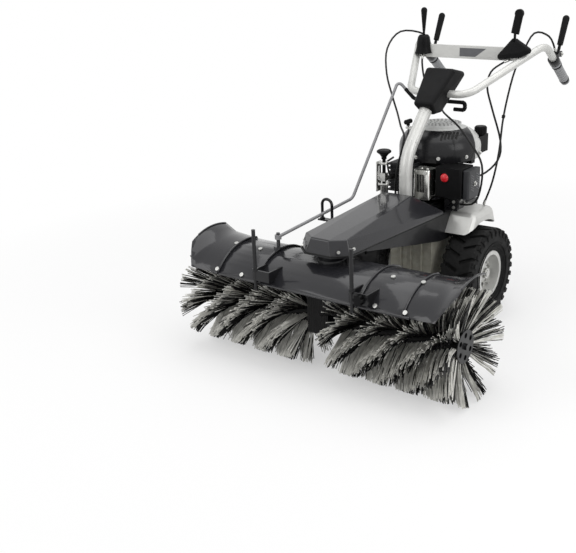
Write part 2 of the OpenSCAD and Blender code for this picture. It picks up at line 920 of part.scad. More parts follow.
// Silencer behind its guard, with a stub to the cylinder
module muffler() color("#8a8782") {
  round_box([guard_in + muffler_gap, guard_front + muffler_gap, guard_low + gap],
    [guard_out - muffler_gap, guard_back - muffler_gap, guard_top - muffler_gap], guard_round);
  bar([guard_in + muffler_gap + guard_round, guard_back - muffler_gap - over, carb_z],
    [guard_in + muffler_gap + guard_round, -block_front - gap, carb_z], muffler_pipe_r / 2);
}

// Bright guard of the silencer with upright slots
module muffler_guard() color("gainsboro") {
  guard_shell();
  for (x = [guard_in + 2 * guard_round, guard_out - 2 * guard_round])
    bar([x, (guard_front + guard_back) / 2, guard_top - muffler_gap],
      [x, (guard_front + guard_back) / 2, guard_top + guard_t], guard_boss_r);
}
module guard_shell() difference() {
  round_box([guard_in, guard_front, deck_z], [guard_out, guard_back, guard_top], guard_round);
  round_box([guard_in + guard_t, guard_front + guard_t, deck_z - over],
    [guard_out - guard_t, guard_back + guard_round + over, guard_top - guard_t], guard_round - guard_t);
  for (i = [0 : guard_slots - 1])
    translate([guard_in + guard_slot_margin + i * (guard_out - guard_in - 2 * guard_slot_margin - guard_slot_w)
      / (guard_slots - 1), guard_front - over, guard_low + guard_slot_margin])
      cube([guard_slot_w, guard_t + 2 * over, guard_top - guard_low - 2 * guard_slot_margin]);
}

// Black air filter base, open to its cover, with the primer's bore
module air_filter_base() color("#1c1c1e") difference() {
  round_box([filter_in, filter_front, deck_z + base_t], [filter_out, filter_back, filter_top], filter_round);
  box([filter_out - filter_deep, filter_front + 2 * filter_wall, filter_low + 2 * filter_wall],
    [filter_out + over, filter_back - 2 * filter_wall, filter_top - 2 * filter_wall]);
  translate([primer_x, filter_front - over, primer_z])
    rotate([-90, 0, 0])
      cylinder(h = primer_deep + over, r = primer_bore);
  bar([carb_x, filter_back - primer_deep, carb_z], [carb_x, filter_back + over, carb_z], carb_r / 2 + gap);
}

// Grey cover of the air filter
module air_filter_cover() color("#7c7c7e") difference() {
  translate([filter_out, 0, 0])
    round_box([0, filter_front + filter_cover_in, filter_low],
      [filter_cover_t, filter_back + filter_cover_in, filter_top - filter_cover_in], filter_round);
  box([filter_out - over, filter_front + filter_cover_in + filter_round, filter_low + filter_wall],
    [filter_out + filter_cover_t - filter_wall, filter_back - filter_round, filter_top - filter_cover_in - filter_wall]);
}

// Carburettor between the crankcase and the air filter
module carburettor() color("#9a9a98") {
  translate([carb_x, carb_y, carb_z - carb_r])
    cylinder(h = 2 * carb_r, r = carb_r);
  bar([tank_x, carb_y, carb_z], [carb_x, carb_y, carb_z], carb_r / 2);
  bar([carb_x, filter_back - primer_deep + over, carb_z], [carb_x, carb_y, carb_z], carb_r / 2);
}

// Soft primer bulb
module primer_bulb() color("#c3141c")
  translate([primer_x, filter_front, primer_z])
    rotate([90, 0, 0])
      rotate_extrude()
        polygon(concat([[0, -over], [primer_r, -over]],
          [for (a = [0 : 15 : 90]) [primer_r * cos(a), primer_out * sin(a)]]));

// Outline of the post: a round tube with lengthwise grooves
module post_profile() difference() {
  circle(r = post_r);
  for (i = [0 : post_grooves - 1])
    rotate(360 * (i + 0.5) / post_grooves)
      translate([post_r + post_groove_r / 2, 0])
        circle(r = post_groove_r);
  circle(r = post_r - post_wall);
}

// Bent post of the handlebar with its foot flange and the rope eye
module handlebar_post() color("#c9c9c7") {
  translate([0, -post_ahead, frame_z])
    rotate([0, 0, -90])
      linear_extrude(bend_start_z - frame_z)
        post_profile();
  translate([0, -post_ahead + post_bend, bend_start_z])
    multmatrix([[0, 0, -1, 0], [-1, 0, 0, 0], [0, 1, 0, 0], [0, 0, 0, 1]])
      rotate_extrude(angle = post_lean)
        translate([post_bend, 0])
          post_profile();
  translate([0, bend_end_y, bend_end_z])
    rotate([-post_lean, 0, 0])
      rotate([0, 0, -90])
        linear_extrude(post_upper)
          post_profile();
  translate([0, -post_ahead, frame_z])
    post_ring(post_flange_t, post_flange_r);
  translate([0, -post_ahead, bend_start_z - weld_half]) post_ring(2 * weld_half, post_r + weld);
  translate([0, bend_end_y, bend_end_z]) rotate([-post_lean, 0, 0]) translate([0, 0, -weld_half]) {
    post_ring(2 * weld_half, post_r + weld);
    translate([0, 0, post_upper - weld_half]) cylinder(h = 3 * weld_half, r = post_r);
  }
  difference() {
    bar([0, post_end_y, post_top_z], [0, bend_y, bend_z], saddle_r);
    bar([-bend_x, bend_y, bend_z], [bend_x, bend_y, bend_z], bar_r + lap);
    translate([0, bend_y, bend_z]) rotate([-post_lean, 0, 0]) translate([-bend_x, -bend_x / 2, 0]) cube([2 * bend_x, bend_x, bend_x]);
  }
  difference() {
    union() {
      translate([rope_x, rope_y, rope_z - rope_len]) cylinder(h = eye_t, r = eye_r);
      box([rope_x, rope_y - eye_t, rope_z - rope_len], [-post_r + post_groove_r, rope_y + eye_t * 2, rope_z - rope_len + eye_t]);
    }
    translate([rope_x, rope_y, rope_z - rope_len - over]) cylinder(h = eye_t + 2 * over, r = rope_r + gap);
  }
}

// Ring that fits the post's section, as a foot or a weld
module post_ring(h, r) difference() {
  cylinder(h = h, r = r);
  translate([0, 0, -over]) cylinder(h = h + 2 * over, r = post_r - post_wall - weld);
}

// Rope of the starter between the eye and the grip
module starter_rope() color("black")
  translate([rope_x, rope_y, rope_z - rope_len]) cylinder(h = rope_len, r = rope_r);

// Pull grip of the starter
module starter_grip() color("#161617") translate([rope_x, rope_y, rope_z]) {
  cylinder(h = grip_stem_h, r = grip_stem_r);
  translate([0, -grip_bar_half, grip_stem_h + grip_bar_r / 2]) rotate([-90, 0, 0]) cylinder(h = 2 * grip_bar_half, r = grip_bar_r);
}

// Outer form of the console that hides the handlebar's clamp
module console_form(wall) {
  r = console_round - wall;
  hull()
    for (s = [-1, 1]) {
      translate([s * (console_half - console_round), console_top_y + console_round, console_top_z - console_round])
        sphere(r = r, $fn = round_fn);
      translate([s * (console_half - console_round), console_back_y - console_round,
        console_top_z - console_back_drop - console_round])
        sphere(r = r, $fn = round_fn);
      translate([s * (console_low_half - console_round), console_low_front + console_round, console_low_z + console_round])
        sphere(r = r, $fn = round_fn);
      translate([s * (console_low_half - console_round), console_low_back - console_round, console_low_z + console_round])
        sphere(r = r, $fn = round_fn);
      translate([s * (console_foot_half - console_round), console_foot_front + console_round, console_foot_z + console_round])
        sphere(r = r, $fn = round_fn);
      translate([s * (console_foot_half - console_round), console_foot_back - console_round, console_foot_z + console_round])
        sphere(r = r, $fn = round_fn);
    }
}

// Console shell with its holes for the post and the handlebar
module console_shell() difference() {
  console_form(0);
  console_form(console_wall);
  translate([0, bend_end_y, bend_end_z])
    rotate([-post_lean, 0, 0])
      cylinder(h = post_upper + 3 * weld_half, r = post_r + gap);
  bar([-bend_x, bend_y, bend_z], [bend_x, bend_y, bend_z], bar_r + gap);
}

// Plane that splits the console along the post's lean
module console_side(front) {
  translate([0, bend_y, bend_z])
    rotate([-post_lean, 0, 0])
      translate([-grip_x, front ? -2 * grip_x - lap / 2 : lap / 2, -grip_x])
        cube(2 * grip_x);
}
module console_front() color("#1d1d1f") intersection() {
  console_shell();
  console_side(true);
}
module console_rear() color("#242426") intersection() {
  console_shell();
  console_side(false);
}

// Handlebar bow of bent tube
module handlebar() color("#cfcfcd") difference() {
  bent_bar(bar_path, bar_bend, bar_r);
  both_sides() bar(grip_end + grip_dir * over, grip_start, bar_r - bar_wall);
}

// Folded plate between the handlebar's arms
module crossbar() color("#c4c4c2") difference() {
  union() {
    box([-crossbar_half, crossbar_y, crossbar_z], [crossbar_half, crossbar_y + crossbar_t / 2, crossbar_z + crossbar_h]);
    for (z = [crossbar_z, crossbar_z + crossbar_h - crossbar_t / 2])
      box([-crossbar_half, crossbar_y, z], [crossbar_half, crossbar_y + crossbar_fold, z + crossbar_t / 2]);
  }
  both_sides() bar(bar_path[3], bar_path[4], bar_r + lap);
}

// Ribbed hand grips with their collars
module hand_grips() color("#3b3b3d") both_sides() hand_grip();
module hand_grip() {
  translate(grip_start)
    rotate([0, acos(grip_dir[2]), 90])
      difference() {
        union() {
          cylinder(h = grip_len + grip_r / 2, r = grip_r - grip_rib);
          for (i = [0 : grip_ribs - 1])
            translate([0, 0, collar_h * 1.5 + i * (grip_len - collar_h) / grip_ribs])
              cylinder(h = (grip_len - collar_h) / grip_ribs / 2, r = grip_r);
          cylinder(h = collar_h, r = grip_r + grip_rib * 2);
        }
        translate([0, 0, -over]) cylinder(h = grip_len + over, r = bar_r + fit);
      }
}

// Clamps and cheeks that carry the clutch levers
module lever_brackets() color("#a9a9a8") both_sides() lever_bracket();
module lever_bracket() difference() {
  union() {
    translate([grip_x, clamp_y, clamp_z])
      rotate([0, acos(grip_dir[2]), 90])
        translate([0, 0, -clamp_w / 2])
          cylinder(h = clamp_w, r = clamp_r);
    for (x = [grip_x - pivot_half, grip_x + pivot_half - bracket_cheek])
      translate([x, 0, 0]) bracket_plate();
  }
  bar([grip_x, clamp_y, clamp_z] - grip_dir * clamp_w, [grip_x, clamp_y, clamp_z] + grip_dir * clamp_w, bar_r + lap);
  bar([grip_x - 2 * pivot_half, pivot_y, pivot_z], [grip_x + 2 * pivot_half, pivot_y, pivot_z], pivot_r + fit);
}
module bracket_plate() {
  rotate([90, 0, 90])
    linear_extrude(bracket_cheek) {
      translate([pivot_y, pivot_z]) circle(r = lever_eye_r + bracket_cheek / 2);
      polygon([[clamp_y - clamp_r / 2, clamp_z + clamp_r / 2], [pivot_y - lever_eye_r, pivot_z + lever_eye_r],
        [pivot_y + lever_eye_r, pivot_z - lever_eye_r / 2], [clamp_y + clamp_r / 2, clamp_z + clamp_r / 2]]);
    }
}

// Clutch lever: pin, eye, stem and sleeve
module clutch_lever() {
  root = [grip_x, pivot_y, pivot_z];
  bar(root - [pivot_half, 0, 0], root + [pivot_half, 0, 0], pivot_r);
  bar(root - [lever_eye_half, 0, 0], root + [lever_eye_half, 0, 0], lever_eye_r);
  bar(root, root + lever_dir * (lever_neck + over), lever_neck_r);
  translate(root + lever_dir * lever_neck)
    rotate([0, acos(lever_dir[2]), 90])
      rotate_extrude()
        polygon(concat([[0, 0], [lever_r, 0]],
          [for (a = [0 : 15 : 90]) [lever_tip_r * cos(a), lever_len - lever_neck + lever_tip_r * sin(a)]]));
}
module clutch_lever_left() color("#19191b") clutch_lever();
module clutch_lever_right() color("#19191b") mirror([1, 0, 0]) clutch_lever();

// What passes through a lever boot: the crossbar, the tube and the lever's slot
module boot_cuts() {
  translate([0, -gap, -gap])
    box([0, crossbar_y, crossbar_z], [crossbar_half, crossbar_y + crossbar_fold + 2 * gap, crossbar_z + crossbar_h + 2 * gap]);
  bar(bar_path[3], bar_path[4], bar_r + gap);
  box([boot_x - boot_slot_w, boot_y - boot_slot, crossbar_z + crossbar_h - over],
    [boot_x + boot_slot_w, boot_y + boot_slot, boot_top + over]);
}

// Bell-shaped boot of the gear lever and long boot of the throttle
module gear_boot() color("#1a1a1c") mirror([1, 0, 0]) difference() {
  translate([boot_x, boot_y, boot_low])
    rotate_extrude()
      polygon(concat([[0, 0]], [for (s = bell_shares) [boot_r * s[0], (boot_top - boot_low) * s[1]]], [[0, boot_top - boot_low]]));
  boot_cuts();
}
module throttle_boot() color("#1a1a1c") difference() {
  hull() {
    translate([boot_x, boot_y, boot_top - boot_neck_r]) sphere(r = boot_neck_r, $fn = round_fn);
    translate([boot_x, boot_y, boot_low]) cylinder(h = boot_neck_r, r = boot_r - boot_neck_r / 2, $fn = round_fn);
    translate([boot_x - long_boot, boot_y, boot_low]) sphere(r = boot_tail_r, $fn = round_fn);
    translate([boot_x + long_boot, boot_y, boot_low + 2 * boot_tail_r]) sphere(r = boot_tail_r, $fn = round_fn);
  }
  boot_cuts();
}

// Stem that every hand lever pivots on
module lever_stick() {
  bar([boot_x - boot_slot_w + gap, boot_y, stick_z], [boot_x + boot_slot_w - gap, boot_y, stick_z], stick_ball_r - over);
  bar([boot_x, boot_y, stick_z], [boot_x, boot_y, stick_z + stick_len + over], stick_r);
}
module throttle_lever() color("#1b1b1d") {
  lever_stick();
  translate([boot_x, boot_y, stick_z + stick_len])
    rotate([0, paddle_tilt, 0]) {
      linear_extrude(knob_len - paddle_w) {
        square([2 * (paddle_w - paddle_t), 2 * paddle_t], center = true);
        for (s = [-1, 1]) translate([s * (paddle_w - paddle_t), 0]) circle(r = paddle_t);
      }
      translate([0, paddle_t, knob_len - paddle_w]) rotate([90, 0, 0]) cylinder(h = 2 * paddle_t, r = paddle_w);
    }
}
module gear_lever() color("#1b1b1d") mirror([1, 0, 0]) {
  lever_stick();
  translate([boot_x, boot_y, stick_z + stick_len]) {
    rotate_extrude()
      polygon(concat([[0, 0], [slim_root_r, 0]],
        [for (a = [0 : 15 : 90]) [slim_knob_r * cos(a), knob_len - slim_knob_r * (1 - sin(a))]]));
  }
}

// Control cables from the levers to the engine and the gearbox
module drive_cable() color("#111112") cable(drive_route);
module brush_cable() color("#111112") cable(brush_route);
module gear_cable() color("#111112") cable(gear_route);
module throttle_cable() color("#111112") cable(throttle_route);

// Guide of the height adjuster: tube, ring and slotted plate with a top lug
module height_bracket() color("#8f8f8e") difference() {
  translate([adjust_x, adjust_y, 0]) {
    translate([0, 0, frame_z]) cylinder(h = adjust_tube_top - frame_z, r = adjust_tube_r);
    translate([0, 0, adjust_tube_top - over]) cylinder(h = adjust_ring_t + over, r = adjust_ring_r);
    box([-adjust_plate_x - adjust_plate_t, -adjust_plate_half, adjust_plate_low],
      [-adjust_plate_x, adjust_plate_half, adjust_plate_top]);
    box([-adjust_plate_x - over, -adjust_plate_half / 2, adjust_plate_top - adjust_lug_t],
      [0, adjust_plate_half / 2, adjust_plate_top]);
    translate([0, 0, adjust_plate_top - adjust_lug_t]) cylinder(h = adjust_lug_t, r = adjust_tube_r);
  }
  translate([adjust_x, adjust_y, spindle_low - over]) cylinder(h = knob_low, r = spindle_r + fit);
  translate([adjust_x - adjust_plate_x - adjust_plate_t - over, adjust_y - adjust_slot / 2, slider_low])
    cube([adjust_plate_t + 2 * over, adjust_slot, adjust_plate_top - adjust_lug_t * 2 - slider_low]);
}

// Knob with its spindle, and the slider that the spindle lifts
module height_knob() color("#2b2b2d") translate([adjust_x, adjust_y, 0]) {
  translate([0, 0, spindle_low]) cylinder(h = knob_low - spindle_low + over, r = spindle_r);
  translate([0, 0, knob_low])
    rotate_extrude()
      polygon([[0, 0], [mushroom_neck_r, 0], [mushroom_neck_r, mushroom_h / 4], [mushroom_r * 0.6, mushroom_h / 2],
        [mushroom_r, mushroom_h * 0.75], [mushroom_r, mushroom_h * 0.88], [mushroom_r * 0.8, mushroom_h], [0, mushroom_h]]);
}
module height_slider() color("#bdbdbb") translate([adjust_x, adjust_y, 0]) difference() {
  union() {
    box([-slider_half, -slider_half, slider_low], [slider_half, slider_half, slider_low + slider_h]);
    bar([-adjust_plate_x - 2 * adjust_plate_t, 0, slider_low + slider_h / 2], [-slider_half + over, 0, slider_low + slider_h / 2],
      pointer_r);
  }
  translate([0, 0, slider_low - over]) cylinder(h = slider_h + 2 * over, r = spindle_r + fit);
}

// Inverted U that guides the swivel rod, on a tab of the frame
module rod_guide() color("#202022") {
  u = [[guide_x - guide_half, guide_y, guide_foot], [guide_x - guide_half, guide_y, guide_top + guide_half],
    [guide_x + guide_half, guide_y, guide_top + guide_half], [guide_x + guide_half, guide_y, guide_foot]];
  bent_bar(u, guide_half - over, guide_r);
  for (x = [guide_x - guide_half, guide_x + guide_half])
    translate([x, guide_y, guide_foot]) cylinder(h = guide_foot_h, r = guide_foot_r);
}

// Straight belt run between two pulleys: their circles and the two tangent lines
module belt_outline(extra) {
  a = input_groove_r + extra;
  b = crank_groove_r + extra;
  s = asin((a - b) / belt_span);
  circle(r = a);
  translate([0, belt_span]) circle(r = b);
  polygon([[a * cos(s), a * sin(s)], [b * cos(s), belt_span + b * sin(s)], [-b * cos(s), belt_span + b * sin(s)],
    [-a * cos(s), a * sin(s)]]);
}
module drive_belt() color("#141415")
  translate([0, brush_y, belt_z])
    linear_extrude(belt_h)
      difference() {
        belt_outline(belt_t + gap);
        belt_outline(gap);
      }

// Grooved pulley standing on the belt's plane
module pulley(groove, hub) {
  rotate_extrude()
    polygon([[0, -pulley_cheek - gap], [groove + pulley_flange, -pulley_cheek - gap], [groove + pulley_flange, -gap],
      [groove, -gap], [groove, belt_h + gap], [groove + pulley_flange, belt_h + gap],
      [groove + pulley_flange, belt_h + pulley_cheek + gap], [hub, belt_h + pulley_cheek + gap], [0, belt_h + pulley_cheek + gap]]);
}
module crank_pulley() color("#808080") translate([0, engine_y, belt_z]) {
  pulley(crank_groove_r, crank_r);
  cylinder(h = crank_up - over, r = crank_r);
}
module input_pulley() color("#808080") translate([0, brush_y, 0]) {
  translate([0, 0, belt_z]) pulley(input_groove_r, input_r);
  translate([0, 0, brush_z + shaft_r + input_foot]) cylinder(h = belt_z - brush_z - shaft_r - input_foot, r = input_r);
}

// Tyre section: tread, shoulders, side walls and beads round an open inside
module tyre_profile() {
  half = tyre_w / 2;
  outer = [[bead_r, -bead_half], [bead_r + tyre_wall, -bead_half - tyre_wall / 2], [tyre_wide_r - tyre_wall, -half],
    [tyre_wide_r + tyre_wall, -half], [wheel_r - tyre_wall, -half + tyre_wall / 2], [wheel_r, -tread_half],
    [wheel_r, tread_half], [wheel_r - tyre_wall, half - tyre_wall / 2], [tyre_wide_r + tyre_wall, half],
    [tyre_wide_r - tyre_wall, half], [bead_r + tyre_wall, bead_half + tyre_wall / 2], [bead_r, bead_half]];
  hole = [[bead_r - over, -bead_half + tyre_wall], [tyre_wide_r, -half + tyre_wall],
    [wheel_r - tread_deep - tyre_wall, -tread_half], [wheel_r - tread_deep - tyre_wall, tread_half],
    [tyre_wide_r, half - tyre_wall], [bead_r - over, bead_half - tyre_wall]];
  difference() {
    polygon(outer);
    polygon(hole);
  }
}
module tyre() difference() {
  rotate_extrude() tyre_profile();
  for (s = [-1, 1], i = [0 : tread_bars - 1])
    rotate([0, 0, 360 * (i + s / 4) / tread_bars])
      translate([wheel_r - tread_deep, 0, s * tyre_w / 4])
        rotate([s * 24, 0, 0])
          translate([0, -tread_bar_w / 2, -tyre_w / 4 + tread_bar_w / 3])
            cube([tread_deep + over, tread_bar_w, tyre_w / 2]);
}

// Pressed rim: barrel, lips, dished disc with windows and hub
module rim() difference() {
  rotate_extrude() {
    translate([bead_r - lap - rim_t, -bead_half]) square([rim_t, 2 * bead_half]);
    for (s = [-1, 1])
      translate([bead_r - lap - rim_t, s > 0 ? bead_half + tyre_wall / 2 + lap : -bead_half - tyre_wall / 2 - lap - rim_lip])
        square([rim_r - bead_r + rim_t, rim_lip]);
    for (s = [-1, 1])
      translate([bead_r - lap - rim_t, s > 0 ? bead_half - over : -bead_half - tyre_wall / 2 - lap - over])
        square([rim_t, tyre_wall / 2 + lap + 2 * over]);
    polygon([[hub_r - over, rim_disc_x], [bead_r - lap - rim_t + over, rim_disc_x - rim_t * 2],
      [bead_r - lap - rim_t + over, rim_disc_x - rim_t], [hub_r - over, rim_disc_x + rim_t]]);
    translate([axle_r + fit, -bead_half]) square([hub_r - axle_r - fit, bead_half + rim_disc_x + rim_t * 2]);
  }
  for (i = [0 : rim_holes - 1])
    rotate([0, 0, 360 * i / rim_holes])
      translate([(hub_r + bead_r) / 2, 0, -rim_t * 2])
        cylinder(h = rim_disc_x + rim_t * 4, r = rim_hole_r);
}

// Axle shaft with its wheel nut
module axle() {
  translate([0, 0, axle_in - wheel_x]) cylinder(h = wheel_x - axle_in + nut_x, r = axle_r);
  translate([0, 0, rim_disc_x + rim_t * 2 + gap]) cylinder(h = nut_h, r = nut_r, $fn = hex_sides);
}
module tyre_left() color("#1e1e1f") on_axle(wheel_x) tyre();
module rim_left() color("#d2d2d0") on_axle(wheel_x) rim();
module axle_left() color("#a5a5a4") on_axle(wheel_x) axle();
module tyre_right() color("#1e1e1f") mirror([1, 0, 0]) on_axle(wheel_x) tyre();
module rim_right() color("#d2d2d0") mirror([1, 0, 0]) on_axle(wheel_x) rim();
module axle_right() color("#a5a5a4") mirror([1, 0, 0]) on_axle(wheel_x) axle();

// Gearbox that hangs in the turret and drives both rolls
module brush_gearbox() color("#3a3a3c") difference() {
  union() {
    on_brush(-gearbox_half) cylinder(h = 2 * gearbox_half, r = gearbox_r);
    translate([0, brush_y, 0]) {
      translate([0, 0, brush_z]) cylinder(h = collar_low - brush_z + over, r = riser_r);
      translate([0, 0, collar_low]) cylinder(h = collar_top - collar_low, r = collar_r);
      translate([0, 0, collar_top - over]) cylinder(h = frame_z + gap - collar_top + 2 * over, r = neck_r);
      translate([0, 0, frame_z + gap]) cylinder(h = neck_ring_h - gap, r = neck_ring_r);
    }
  }
  on_brush(-gearbox_half - over) cylinder(h = 2 * (gearbox_half + over), r = shaft_r + fit);
  translate([0, brush_y, brush_z]) cylinder(h = frame_z, r = input_r + fit);
}

// Centre hood with its rolled lip and the hole round the collar
module hood_centre() color("#3f3f42") {
  difference() {
    hood_sector(hood_rear) translate([hood_r - sheet, -hood_half]) square([sheet, 2 * hood_half]);
    translate([0, brush_y, brush_z]) cylinder(h = 2 * hood_r, r = collar_r + lap);
  }
  hood_lip(-fender_in + lap, fender_in - lap, hood_r - sheet);
}

// Rolled edge along the front of a sheet
module hood_lip(from, to, inner) {
  r = inner + lip_r + lap;
  a = [from, brush_y - r * sin(hood_front), brush_z + r * cos(hood_front)];
  bar(a, [to, a[1], a[2]], lip_r);
}

// Fenders lapped over the centre hood, and the flared wings lapped over them
module fender_sheets() both_sides() {
  hood_sector(hood_rear) translate([hood_r + lap, fender_in]) square([sheet, fender_out - fender_in]);
  hood_lip(fender_in, wing_in - lap, fender_r - sheet);
}
module inner_fenders() color("#434346") {
  fender_sheets();
  swivel_lug();
}
module fender_wings() color("#3c3c3f") both_sides() difference() {
  union() {
    hood_sector(wing_rear)
      polygon([[fender_r + lap, wing_in], [wing_r, wing_in], [wing_r, fender_out],
        [wing_r + wing_knee_flare, wing_knee], [wing_r + wing_flare, wing_out],
        [wing_r + wing_flare - sheet, wing_out + sheet / 2], [wing_r + wing_knee_flare - sheet, wing_knee + sheet / 2],
        [fender_r + lap, fender_out]]);
    hood_lip(wing_in, fender_out + lip_r, wing_r - sheet);
  }
  on_hood(wing_out - wing_chamfer, hood_front, 0)
    translate([0, 0, hood_r / 2])
      rotate([0, 0, -atan2(wing_chamfer, wing_chamfer_deep)])
        translate([0, -wing_chamfer_deep, 0])
          cube([wing_chamfer_deep, 3 * wing_chamfer_deep, hood_r]);
}
module fender_bolts() color("#d8d8d8") both_sides() {
  for (ahead = [upper_bolt_turn, lip_bolt_turn]) {
    on_hood(bolt_in_x, ahead, fender_r + lap) cylinder(h = bolt_h, r = bolt_r);
    on_hood(bolt_out_x, ahead, wing_r + lap) cylinder(h = bolt_h, r = bolt_r);
  }
}

// Bars at the front that the dirt collector hangs on, with their brackets
module collector_hooks() color("#2c2c2e") difference() {
  y = brush_y - hook_ahead;
  for (x = [-hook_x, hook_x])
    translate([x, 0, 0]) {
      translate([0, y, hook_foot_z]) cylinder(h = hook_seat_z - hook_foot_z, r = hook_r - hook_step);
      translate([0, y, hook_seat_z - hook_seat_h]) cylinder(h = 2 * hook_seat_h, r = hook_seat_r);
      translate([0, y, hook_seat_z]) cylinder(h = hook_top_z - hook_seat_z, r = hook_r);
      translate([0, y, hook_foot_z]) cylinder(h = hook_end_h, r = hook_end_r);
      box([-hook_end_r, y - hook_bracket_t / 2, hook_bracket_z],
        [hook_bracket_w, y + hook_bracket_t / 2, hook_bracket_z + hook_bracket_h]);
      for (arm = [-hook_end_r, hook_bracket_w - hook_bracket_t])
        box([arm, y, hook_bracket_z], [arm + hook_bracket_t, y + hook_arm_deep * 2, hook_bracket_z + hook_bracket_h]);
    }
  on_brush(-hood_half) cylinder(h = 2 * hood_half, r = hood_r);
  both_sides() on_brush(fender_in - lap) cylinder(h = hood_half, r = fender_r);
  translate([knob_x, y - hook_arm_deep, hook_bracket_z + hook_bracket_h / 2])
    rotate([-90, 0, 0])
      cylinder(h = 2 * hook_arm_deep, r = knob_stem_r + fit);
}

// Star knob that clamps the collector's bracket
module hook_knob() color("#1a1a1b")
  translate([knob_x, brush_y - hook_ahead - hook_bracket_t / 2 - gap, hook_bracket_z + hook_bracket_h / 2])
    rotate([90, 0, 0]) {
      translate([0, 0, -hook_bracket_t - 2 * gap]) cylinder(h = hook_bracket_t + 2 * gap + over, r = knob_stem_r);
      cylinder(h = knob_h, r = knob_r - knob_lobe_r);
      for (i = [0 : knob_lobes - 1])
        rotate([0, 0, 360 * i / knob_lobes])
          translate([knob_r - knob_lobe_r, 0, 0])
            cylinder(h = knob_h, r = knob_lobe_r);
    }

// Rubber flap that closes the gap between the rolls
module centre_flap() color("#161617") difference() {
  box([-flap_half, brush_y - flap_ahead, flap_low], [flap_half, brush_y - flap_ahead + flap_t, brush_z + hood_r]);
  difference() {
    on_brush(-hood_half) cylinder(h = 2 * hood_half, r = 2 * hood_r);
    on_brush(-hood_half - over) cylinder(h = 2 * (hood_half + over), r = hood_r - sheet);
  }
}

// Lug and pin on the fender that the swivel rod pulls on
module swivel_lug() {
  translate([rod_x, eye_y, brush_z + hood_r - rod_lug_h]) difference() {
    cylinder(h = 2 * rod_lug_h + sheet, r = rod_lug_r);
    translate([-rod_x, brush_y - eye_y, rod_lug_h - hood_r])
      rotate([0, -90, 0])
        cylinder(h = hood_half, r = hood_r + lap + sheet / 2);
  }
  translate([rod_x, eye_y, brush_z + fender_r]) cylinder(h = eye_z + rod_eye_h - brush_z - fender_r, r = rod_pin_r);
}

// Shaft through both rolls with the end discs and bolts
module brush_shaft() color("#3d3d3f") both_sides() {
  on_brush(0) cylinder(h = roll_out + end_disc_t, r = shaft_r);
  on_brush(roll_out + gap)
    difference() {
      cylinder(h = end_disc_t, r = end_disc_r);
      for (i = [0 : hex_sides - 1])
        rotate([0, 0, 360 * i / hex_sides])
          translate([end_disc_r * 0.68, 0, -over])
            cylinder(h = end_disc_t + 2 * over, r = end_bolt_h);
    }
  on_brush(roll_out + end_disc_t) cylinder(h = end_bolt_h, r = end_bolt_r, $fn = hex_sides);
}

// Roll of bristle tufts in spiral rows, standing in their sleeve
module bristle_roll() on_brush(0) {
  translate([0, 0, roll_in])
    difference() {
      cylinder(h = roll_len, r = sleeve_r);
      translate([0, 0, -over]) cylinder(h = roll_len + 2 * over, r = shaft_r + fit);
    }
  for (i = [0 : tuft_rings - 1])
    let (share = (i + 0.5) / tuft_rings, lean = share * (tip_flare + tip_in_lean) - tip_in_lean,
      tilt = atan2(lean, brush_r - sleeve_r), reach = (brush_r - sleeve_r + tuft_root - tuft_r * sin(abs(tilt))) / cos(tilt))
      for (j = [0 : ring_tufts - 1])
        color((j + i) % black_every == 0 ? "#1b1b1b" : "#cfcfc8")
          rotate([0, 0, 360 * j / ring_tufts + ring_turn * (i - (tuft_rings - 1) / 2)])
            translate([sleeve_r - tuft_root, 0, roll_in + share * roll_len])
              rotate([0, 90 - tilt, 0])
                cylinder(h = reach, r = tuft_r, $fn = tuft_sides);
}
module bristles_left() bristle_roll();
module bristles_right() mirror([1, 0, 0]) bristle_roll();

// Bent push rod that turns the head, and its handle behind the console
module swivel_rod() color("#bfbfbd") difference() {
  union() {
    bent_bar(rod_path, rod_bends, rod_r);
    translate([rod_x, eye_y, eye_z - rod_eye_h / 2]) cylinder(h = rod_eye_h, r = rod_eye_r);
  }
  translate([rod_x, eye_y, eye_z - rod_eye_h]) cylinder(h = 2 * rod_eye_h, r = rod_pin_r + fit);
}
module rod_handle() color("#171718") bent_bar(handle_path, handle_bends, handle_r);

// The axle lies a set way behind the middle of the part
module placed() translate([0, axle_y, 0]) children();

placed() main_frame();
placed() belt_cover();
placed() transmission_case();
placed() mudguards();
placed() engine_block();
placed() engine_cowl();
placed() starter_housing();
placed() fuel_tank();
placed() muffler();
placed() muffler_guard();
placed() air_filter_base();
placed() air_filter_cover();
placed() carburettor();
placed() handlebar_post();
placed() console_front();
placed() console_rear();
placed() handlebar();
placed() crossbar();
placed() hand_grips();
placed() lever_brackets();
placed() throttle_boot();
placed() gear_boot();
placed() drive_cable();
placed() brush_cable();
placed() gear_cable();
placed() throttle_cable();
placed() starter_rope();
placed() height_bracket();
placed() rod_guide();
placed() drive_belt();
placed() crank_pulley();
placed() tyre_left();
placed() rim_left();
placed() axle_left();
placed() tyre_right();
placed() rim_right();
placed() axle_right();
placed() brush_gearbox();
placed() hood_centre();
placed() inner_fenders();
placed() fender_wings();
placed() fender_bolts();
placed() collector_hooks();
placed() centre_flap();
placed() hook_knob();
placed() input_pulley();
placed() brush_shaft();
placed() bristles_left();
placed() bristles_right();
placed() swivel_rod();
placed() rod_handle();
placed() clutch_lever_left();
placed() clutch_lever_right();
placed() gear_lever();
placed() throttle_lever();
placed() height_knob();
placed() height_slider();
placed() primer_bulb();
placed() starter_grip();
placed() fuel_cap();
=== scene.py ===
"""Finishes, bristles, cables and fittings of a walk-behind power brush sweeper."""

